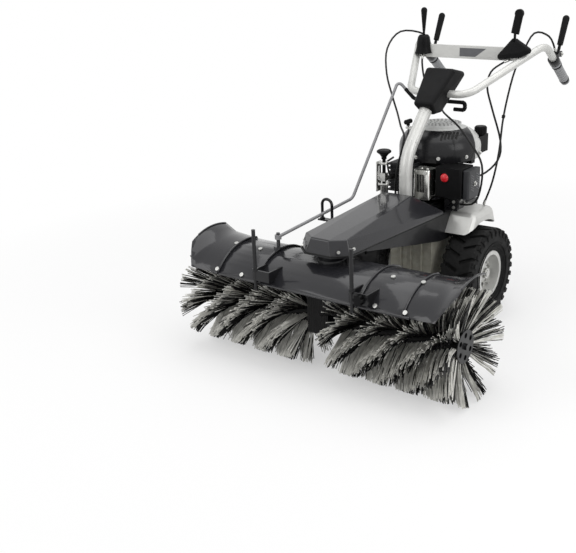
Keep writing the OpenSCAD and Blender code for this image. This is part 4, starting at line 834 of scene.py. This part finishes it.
class SWEEPER_OT_cables(bpy.types.Operator):
    """Four Bowden cables on their routes"""

    bl_idname = "sweeper.cables"
    bl_label = "Cables"

    RADIUS = 3.5
    # Points that each cable passes, in millimetres from the axle
    ROUTES = {
        "brush_cable": (
            (-253, 438, 884), (-268, 395, 936), (-325, 320, 950), (-335, 240, 895), (-285, 155, 815),
            (-230, 110, 734), (-190, 76, 688), (-130, 0, 657), (-54, -104, 636), (-56, -150, 530),
            (-60, -150, 428),
        ),
        "drive_cable": (
            (253, 438, 884), (238, 405, 940), (205, 350, 956), (190, 290, 890), (182, 240, 820),
            (190, 160, 695), (206, 100, 580), (200, 70, 480), (170, 70, 393),
        ),
        "throttle_cable": (
            (165, 240, 874), (140, 236, 862), (116, 200, 835), (118, 172, 785), (145, 160, 715),
            (184, 155, 605), (186, 135, 540), (150, 80, 494), (104, 12, 500),
        ),
        "gear_cable": (
            (-180, 236, 881), (-172, 222, 842), (-145, 196, 790), (-105, 182, 742), (-50, 150, 708),
            (10, 60, 706), (115, -26, 680), (190, -70, 630), (236, -90, 575), (232, -88, 490),
            (196, -74, 432), (99, -60, 420),
        ),
    }

    def execute(self, context):
        for name, route in self.ROUTES.items():
            points = self.smooth([at(*p) for p in route])
            made = cord_line(name + "_sheath", points, self.RADIUS, moulded_rubber())
            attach(made, "chassis")
            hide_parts(name)
        return {"FINISHED"}

    def smooth(self, points, steps=4):
        """A smooth line through the route's points."""
        ends = [points[0] * 2 - points[1], *points, points[-1] * 2 - points[-2]]
        line = []
        for a, b, c, d in zip(ends, ends[1:], ends[2:], ends[3:]):
            squared = 2 * a - 5 * b + 4 * c - d
            cubed = 3 * b - a - 3 * c + d
            for k in range(steps):
                t = k / steps
                line.append(0.5 * (2 * b + (c - a) * t + squared * t * t + cubed * t**3))
        return [*line, points[-1]]


class SWEEPER_OT_flap(bpy.types.Operator):
    """Ribbed rubber flap between the rolls"""

    bl_idname = "sweeper.flap"
    bl_label = "Flap"

    RIBS, RIB_STEPS, RISE_STEPS, DEEP = 9, 8, 24, 2.4

    def execute(self, context):
        flap = piece_of("ribbed_flap", "brush_head", moulded_rubber(), self.draw_flap)
        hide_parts("centre_flap")
        return {"FINISHED"}

    def draw_flap(self, shape):
        low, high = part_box("centre_flap")
        width = high.x - low.x
        front = bmesh.ops.create_grid(
            shape, x_segments=self.RIBS * self.RIB_STEPS, y_segments=self.RISE_STEPS, size=0.5
        )["verts"]
        for vert in front:
            across, rise = vert.co.x + 0.5, vert.co.y + 0.5
            wave = (0.5 - 0.5 * math.cos(math.tau * self.RIBS * across)) * self.DEEP * MM
            vert.co = Vector((low.x + width * across, low.y + wave, low.z + (high.z - low.z) * rise))
        thick = high.y - low.y - self.DEEP * MM
        grown = bmesh.ops.extrude_face_region(shape, geom=list(shape.faces))["geom"]
        back = [part for part in grown if isinstance(part, bmesh.types.BMVert)]
        bmesh.ops.translate(shape, vec=(0, thick, 0), verts=back)
        bmesh.ops.recalc_face_normals(shape, faces=list(shape.faces))


class SWEEPER_OT_fender_edges(bpy.types.Operator):
    """Rolled edges where the hood's sheets overlap"""

    bl_idname = "sweeper.fender_edges"
    bl_label = "Fender edges"

    # Distance from the middle, radius of the sheet, and front and rear angles in degrees
    EDGES = ((191.0, 190.5, 50, -70), (345.0, 193.0, 50, -16), (488.5, 219.0, 20, -16))
    STEPS, THICK = 20, 3.2

    def execute(self, context):
        piece_of("fender_edges", "brush_head", charcoal_enamel(), self.edges)
        return {"FINISHED"}

    def edges(self, shape):
        for x, radius, front, rear in self.EDGES:
            for sign in (-1, 1):
                spots = []
                for k in range(self.STEPS + 1):
                    turn = math.radians(front + (rear - front) * k / self.STEPS)
                    ahead, up = radius * math.sin(turn), radius * math.cos(turn)
                    spots.append(at(sign * x, BRUSH_Y - ahead, BRUSH_Z + up))
                wire(shape, spots, self.THICK)


class SWEEPER_OT_starter_rope(bpy.types.Operator):
    """Starter rope, straight down from its grip into the engine"""

    bl_idname = "sweeper.starter_rope"
    bl_label = "Starter rope"

    LENGTH, RADIUS, STEPS = 0.32, 2.0, 16

    def execute(self, context):
        low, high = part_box("starter_rope")
        top = Vector(((low.x + high.x) / 2, (low.y + high.y) / 2, high.z))
        points = [top - Vector((0, 0, self.LENGTH * k / self.STEPS)) for k in range(self.STEPS + 1)]
        rope = cord_line("starter_rope_braid", points, self.RADIUS, starter_cord())
        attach(rope, "starter")
        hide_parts("starter_rope")
        return {"FINISHED"}


class SWEEPER_OT_wheel_fittings(bpy.types.Operator):
    """Wheel nuts, valves, shoulder blocks and sidewall rings"""

    bl_idname = "sweeper.wheel_fittings"
    bl_label = "Wheel fittings"

    NUTS, NUT_RING, NUT_SIZE, FIRST_NUT, DISC_X = 5, 40.0, 6.5, 36.0, 22.5
    VALVE_RING, VALVE_X = 62.0, 14.0
    # Radius and thickness of the rings on each sidewall
    WALL_X, WALL_RINGS = 62.0, ((98.0, 1.6), (112.0, 1.6))
    # Rows of shoulder blocks: ring, distance from the wheel's middle, and sizes
    BLOCKS, BLOCK_EDGE = 30, 1.4
    BLOCK_ROWS = ((146.0, 61.0, (8, 15, 20)), (156.5, 52.0, (16, 17, 12)))

    def execute(self, context):
        kinds = (
            ("wheel_nuts_", zinc_steel, self.nuts, "bright_steel"),
            ("tyre_blocks_", tyre_rubber, self.blocks, "tyre_rubber"),
            ("tyre_rings_", tyre_rubber, self.rings, "tyre_rubber"),
        )
        for name, sign in SIDES:
            for kind, material, fill, slot in kinds:
                piece_of(kind + name, "wheel_" + name, material(), lambda shape: fill(shape, sign))
        return {"FINISHED"}

    def spot(self, sign, ring, degrees, out):
        turn = math.radians(degrees)
        centre = Vector((sign * (WHEEL_X + out * MM), AXLE_Y, AXLE_Z))
        return centre + Vector((0, math.sin(turn), -math.cos(turn))) * ring * MM

    def nuts(self, shape, sign):
        for k in range(self.NUTS):
            spot = self.spot(sign, self.NUT_RING, self.FIRST_NUT + 360 * k / self.NUTS, self.DISC_X)
            bolt(shape, spot, (sign, 0, 0), self.NUT_SIZE)
        valve = self.spot(sign, self.VALVE_RING, self.FIRST_NUT, self.VALVE_X)
        stud(shape, valve, (sign, 0, 0), radius=4, height=18, top=3)

    def blocks(self, shape, sign):
        for k in range(self.BLOCKS):
            for side in (-1, 1):
                turn = 360 * (k + side / 4) / self.BLOCKS
                for radius, out, sizes in self.BLOCK_ROWS:
                    spot = self.spot(sign, radius, turn, 0) + Vector((side * out * MM, 0, 0))
                    place = Matrix.Translation(spot) @ Matrix.Rotation(math.radians(turn), 4, "X")
                    plate(shape, place, sizes, self.BLOCK_EDGE)

    def rings(self, shape, sign):
        for radius, thick in self.WALL_RINGS:
            for side in (-1, 1):
                centre = Vector((sign * WHEEL_X + side * self.WALL_X * MM, AXLE_Y, AXLE_Z))
                hoop(shape, centre, LEFT, radius, thick, steps=64)


class SWEEPER_OT_engine_fittings(bpy.types.Operator):
    """Screws, painted shade in the starter screen's holes and the cowl's vent slots, louvres, bracket,
    bowl, plug and linkage of the engine, and the gear case's cover
    """

    bl_idname = "sweeper.engine_fittings"
    bl_label = "Engine fittings"

    COWL_Y, COWL_R, COWL_SCREW_Z = 58.0, 146.0, 574.0
    COWL_SCREWS = (-128, -96, -64, -24, 8)
    GUARD_INSET = 11.0
    VENTS, VENT_PITCH, VENT_WIDE, VENT_LONG, VENT_THICK = 5, 13.0, 7.2, 33.0, 1.2
    # Where the vents lie on the cowl: distance from its middle, turn round it and slant in degrees
    VENT_MID, VENT_TURN, VENT_SLANT = 112.0, -46.0, -30.0
    # The cowl's dome: its foot's height, its flat top's radius, and how far it reaches out and up
    DOME_Z, DOME_FLAT, DOME_OUT, DOME_UP = 592.0, 46.0, 97.6, 73.6
    # Radius and number of the holes in each ring of the screen
    SCREEN_RINGS = ((22.0, 9), (37.0, 16), (51.0, 22), (64.0, 28))
    LOUVRES, LOUVRE_SIZES, LOUVRE_EDGE, LOUVRE_SLANT = 7, (3, 24, 3), 0.8, -28.0
    # Shares of the filter cover's height and depth where the louvres start, end and stand
    LOUVRE_LOW, LOUVRE_SPAN, LOUVRE_ROWS = 0.3, 0.5, (0.3, 0.72)
    # Places and sizes of the bracket's plates, and places and directions of its bolts
    BRACKET = (
        ((122, -84, 424), (50, 4, 44)),
        ((150, -60, 430), (4, 48, 36)),
        ((124, -60, 408), (48, 44, 4)),
    )
    BRACKET_STUD, BRACKET_EDGE = (112, -88, 432), 1.0
    BRACKET_BOLTS = (
        ((134, -86, 434), FRONT),
        ((134, -86, 414), FRONT),
        ((152, -72, 440), LEFT),
        ((152, -48, 424), LEFT),
    )
    BOWL, BOWL_NUT = (124, -58, 453), (124, -58, 428)
    COVER_WIDE, COVER_THICK, COVER_INSET, COVER_OUT, COVER_EDGE = 124, 5, 30, 0.5, 2.0
    CASE_BOLT_X, CASE_BOLT_INSET, CASE_BOLT_OUT = 52, 44, 3
    PLUG = (-90, -118, 505)
    LEAD = ((-90, -136, 505), (-96, -138, 530), (-118, -112, 552), (-124, -60, 556))
    LINKS = (
        ((100, 12, 528), (112, -8, 530), (128, -14, 530)),
        ((96, 6, 524), (84, 40, 540), (60, 70, 545)),
    )
    LINK_NUT = (90, 4, 521)

    def execute(self, context):
        piece_of("engine_screws", "chassis", zinc_steel(), self.screws)
        # Dark discs on the starter housing are painted shade, standing in for the shadowed inside seen
        # through the screen's holes
        piece_of("painted_shade_screen_holes", "chassis", moulded_rubber(), self.holes)
        # Dark strips on the cowl's dome are painted shade, standing in for the shadowed openings of its
        # vent slots
        piece_of("painted_shade_vent_slots", "chassis", moulded_rubber(), self.vents)
        piece_of("primer_ring", "chassis", black_plastic(), self.primer)
        piece_of("filter_louvres", "chassis", grey_plastic(), self.louvres)
        piece_of("control_bracket", "chassis", black_enamel(), self.bracket)
        piece_of("carburettor_bowl", "chassis", carburettor_metal(), self.bowl)
        piece_of("case_cover", "chassis", cast_case_paint(), self.case_cover)
        piece_of("case_bolts", "chassis", zinc_steel(), self.case_bolts)
        piece_of("spark_plug_boot", "chassis", moulded_rubber(), self.plug)
        piece_of("governor_linkage", "chassis", zinc_steel(), self.linkage)
        return {"FINISHED"}

    def screws(self, shape):
        for degrees in self.COWL_SCREWS:
            turn = Vector((math.cos(math.radians(degrees)), math.sin(math.radians(degrees)), 0))
            spot = at(0, self.COWL_Y, self.COWL_SCREW_Z) + turn * self.COWL_R * MM
            bolt(shape, spot, turn, size=4.5)
        low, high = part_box("muffler_guard")
        inset = self.GUARD_INSET * MM
        for x in (low.x + inset, high.x - inset):
            bolt(shape, Vector((x, low.y, high.z - inset)), FRONT, size=4)
        low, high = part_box("air_filter_cover")
        bolt(shape, Vector((high.x, (low.y + high.y) / 2, (low.z + high.z) / 2)), LEFT, size=6)

    # Draws the painted shade of the screen's holes as thin dark discs on the housing's top
    def holes(self, shape):
        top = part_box("starter_housing")[1].z
        for radius, count in self.SCREEN_RINGS:
            for k in range(count):
                turn = math.tau * k / count
                spot = at(radius * math.cos(turn), self.COWL_Y + radius * math.sin(turn), top / MM)
                stud(shape, spot, UP, radius=3, height=0.3, sides=12)

    # Draws the painted shade of the vent slots as thin dark strips lying on the dome's surface
    def vents(self, shape):
        slant = math.radians(self.VENT_SLANT)
        turn = math.radians(self.VENT_TURN)
        for k in range(self.VENTS):
            across = (k - (self.VENTS - 1) / 2) * self.VENT_PITCH
            sheet = bmesh.ops.create_grid(shape, x_segments=10, y_segments=2, size=0.5)["verts"]
            for vert in sheet:
                long, wide = self.VENT_LONG * vert.co.x, self.VENT_WIDE * vert.co.y
                along = self.VENT_MID + long * math.cos(slant) - wide * math.sin(slant)
                aside = across + long * math.sin(slant) + wide * math.cos(slant)
                out = math.hypot(along, aside) - self.DOME_FLAT
                lean = math.acos(min(1.0, out / self.DOME_OUT))
                x = along * math.cos(turn) - aside * math.sin(turn)
                y = along * math.sin(turn) + aside * math.cos(turn)
                vert.co = at(x, self.COWL_Y + y, self.DOME_Z + self.DOME_UP * math.sin(lean))
            faces = {face for vert in sheet for face in vert.link_faces}
            bmesh.ops.solidify(shape, geom=list(faces), thickness=self.VENT_THICK * MM)
        bmesh.ops.recalc_face_normals(shape, faces=shape.faces)

    def primer(self, shape):
        low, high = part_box("primer_bulb")
        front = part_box("air_filter_base")[0].y
        middle = Vector(((low.x + high.x) / 2, front, (low.z + high.z) / 2))
        hoop(shape, middle, REAR, radius=18, thick=2.4)

    def louvres(self, shape):
        low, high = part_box("air_filter_cover")
        slant = Matrix.Rotation(math.radians(self.LOUVRE_SLANT), 4, "X")
        for k in range(self.LOUVRES):
            rise = self.LOUVRE_LOW + self.LOUVRE_SPAN * k / (self.LOUVRES - 1)
            for share in self.LOUVRE_ROWS:
                y, z = low.y + (high.y - low.y) * share, low.z + (high.z - low.z) * rise
                place = Matrix.Translation((high.x, y, z)) @ slant
                plate(shape, place, self.LOUVRE_SIZES, self.LOUVRE_EDGE)

    def bracket(self, shape):
        for spot, sizes in self.BRACKET:
            plate(shape, Matrix.Translation(at(*spot)), sizes, self.BRACKET_EDGE)
        stud(shape, at(*self.BRACKET_STUD), FRONT, radius=10, height=8)

    def bowl(self, shape):
        stud(shape, at(*self.BOWL), DOWN, radius=17, height=26, top=14)
        stud(shape, at(*self.BOWL_NUT), DOWN, radius=5, height=7, sides=6)
        for spot, axis in self.BRACKET_BOLTS:
            bolt(shape, at(*spot), axis, size=4)

    def case_cover(self, shape):
        low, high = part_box("transmission_case")
        middle = Vector((0, high.y + self.COVER_OUT * MM, (low.z + high.z) / 2))
        tall = (high.z - low.z) / MM - 2 * self.COVER_INSET
        plate(shape, Matrix.Translation(middle), (self.COVER_WIDE, self.COVER_THICK, tall), self.COVER_EDGE)

    def case_bolts(self, shape):
        low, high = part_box("transmission_case")
        inset = self.CASE_BOLT_INSET * MM
        for sign in (-1, 1):
            for z in (low.z + inset, (low.z + high.z) / 2, high.z - inset):
                spot = Vector((sign * self.CASE_BOLT_X * MM, high.y + self.CASE_BOLT_OUT * MM, z))
                bolt(shape, spot, REAR, size=5)

    def plug(self, shape):
        stud(shape, at(*self.PLUG), FRONT, radius=9, height=26, top=7.5)
        wire(shape, [at(*spot) for spot in self.LEAD], radius=3.5)

    def linkage(self, shape):
        for link in self.LINKS:
            wire(shape, [at(*spot) for spot in link], radius=1.6)
        stud(shape, at(*self.LINK_NUT), UP, radius=6, height=9, sides=6)


class SWEEPER_OT_trim(bpy.types.Operator):
    """Cover screws and seam, cable ferrules and clips, and the bare plate of the cross bar"""

    bl_idname = "sweeper.trim"
    bl_label = "Trim"

    # Places and directions of the cover's screws on the left side
    COVER_SCREWS = (((67, -684.5, 411), (0.67, -0.74, 0)), ((93, -640, 414), (1, -0.05, 0)))
    # Corners of the cover's left side, from its nose to the rear
    SEAM, SEAM_UP = ((0, -700), (49, -700), (92, -662), (118, -126)), 0.6
    FERRULE_GAP = 2.0
    # Places and directions of the cable clips
    CLIPS = (((-230, 110, 734), (-45, -40, -55)), ((190, 160, 695), (12, -70, -110)))
    PLATE_SIZES, PLATE_X, PLATE_OUT = (104, 1.6, 30), 19.0, 0.4
    # How far the plate's end leans for each unit of its height
    PLATE_SLANT = 1.4

    def execute(self, context):
        piece_of("cover_screws", "chassis", zinc_steel(), self.screws)
        piece_of("cover_seam", "chassis", moulded_rubber(), self.seam)
        piece_of("cable_ferrules", "chassis", zinc_steel(), self.ferrules)
        piece_of("cable_clips", "chassis", black_plastic(), self.clips)
        piece_of("crossbar_plate", "chassis", grey_plastic(), self.bare_plate)
        return {"FINISHED"}

    def screws(self, shape):
        for sign in (-1, 1):
            for (x, y, z), (out, ahead, up) in self.COVER_SCREWS:
                bolt(shape, at(sign * x, y, z), (sign * out, ahead, up), size=3.6)

    def seam(self, shape):
        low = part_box("belt_cover")[0].z / MM + self.SEAM_UP
        half = [at(x, y, low) for x, y in self.SEAM]
        wire(shape, [Vector((-spot.x, spot.y, spot.z)) for spot in half[:0:-1]] + half, radius=2.2)

    def ferrules(self, shape):
        for route in SWEEPER_OT_cables.ROUTES.values():
            for end, near in ((route[0], route[1]), (route[-1], route[-2])):
                along = (at(*near) - at(*end)).normalized()
                spot = at(*end) + along * self.FERRULE_GAP * MM
                stud(shape, spot, along, radius=5, height=16, top=4.4, deep=0)

    def clips(self, shape):
        for spot, axis in self.CLIPS:
            stud(shape, at(*spot), Vector(axis), radius=6, height=9, deep=0)

    def bare_plate(self, shape):
        low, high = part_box("crossbar")
        middle = Vector((self.PLATE_X * MM, low.y - self.PLATE_OUT * MM, (low.z + high.z) / 2))
        place = Matrix.Translation(middle)
        plate(shape, place, self.PLATE_SIZES, corner=0.6)
        top = self.PLATE_SIZES[2] / 2 * MM
        for vert in shape.verts:
            spot = place.inverted() @ vert.co
            if spot.x > 0:
                vert.co.x -= self.PLATE_SLANT * (top - spot.z)


class SWEEPER_PT_panel(bpy.types.Panel):
    """Lists the steps that dress the sweeper"""

    bl_idname = "SWEEPER_PT_panel"
    bl_label = "Power brush sweeper"
    bl_space_type = "VIEW_3D"
    bl_region_type = "UI"
    bl_category = "Sweeper"

    def draw(self, context):
        for step in STEPS:
            self.layout.operator(step.bl_idname)


GROUPS = {"sweeper_colours": SweeperColours, "sweeper_brush": SweeperBrush, "sweeper_stage": SweeperStage}
STEPS = (
    SWEEPER_OT_stage,
    SWEEPER_OT_cables,
    SWEEPER_OT_sheet_metal,
    SWEEPER_OT_engine,
    SWEEPER_OT_handlebar,
    SWEEPER_OT_wheels,
    SWEEPER_OT_bristles,
    SWEEPER_OT_flap,
    SWEEPER_OT_fender_edges,
    SWEEPER_OT_starter_rope,
    SWEEPER_OT_wheel_fittings,
    SWEEPER_OT_engine_fittings,
    SWEEPER_OT_trim,
)


def register():
    for each in (*GROUPS.values(), *STEPS, SWEEPER_PT_panel):
        bpy.utils.register_class(each)
    for name, group in GROUPS.items():
        setattr(bpy.types.Scene, name, bpy.props.PointerProperty(type=group))


def unregister():
    for name in GROUPS:
        delattr(bpy.types.Scene, name)
    for each in reversed((*GROUPS.values(), *STEPS, SWEEPER_PT_panel)):
        bpy.utils.unregister_class(each)


def main():
    register()
    for step in STEPS:
        group, name = step.bl_idname.split(".")
        getattr(getattr(bpy.ops, group), name)()


if __name__ == "__main__":
    main()
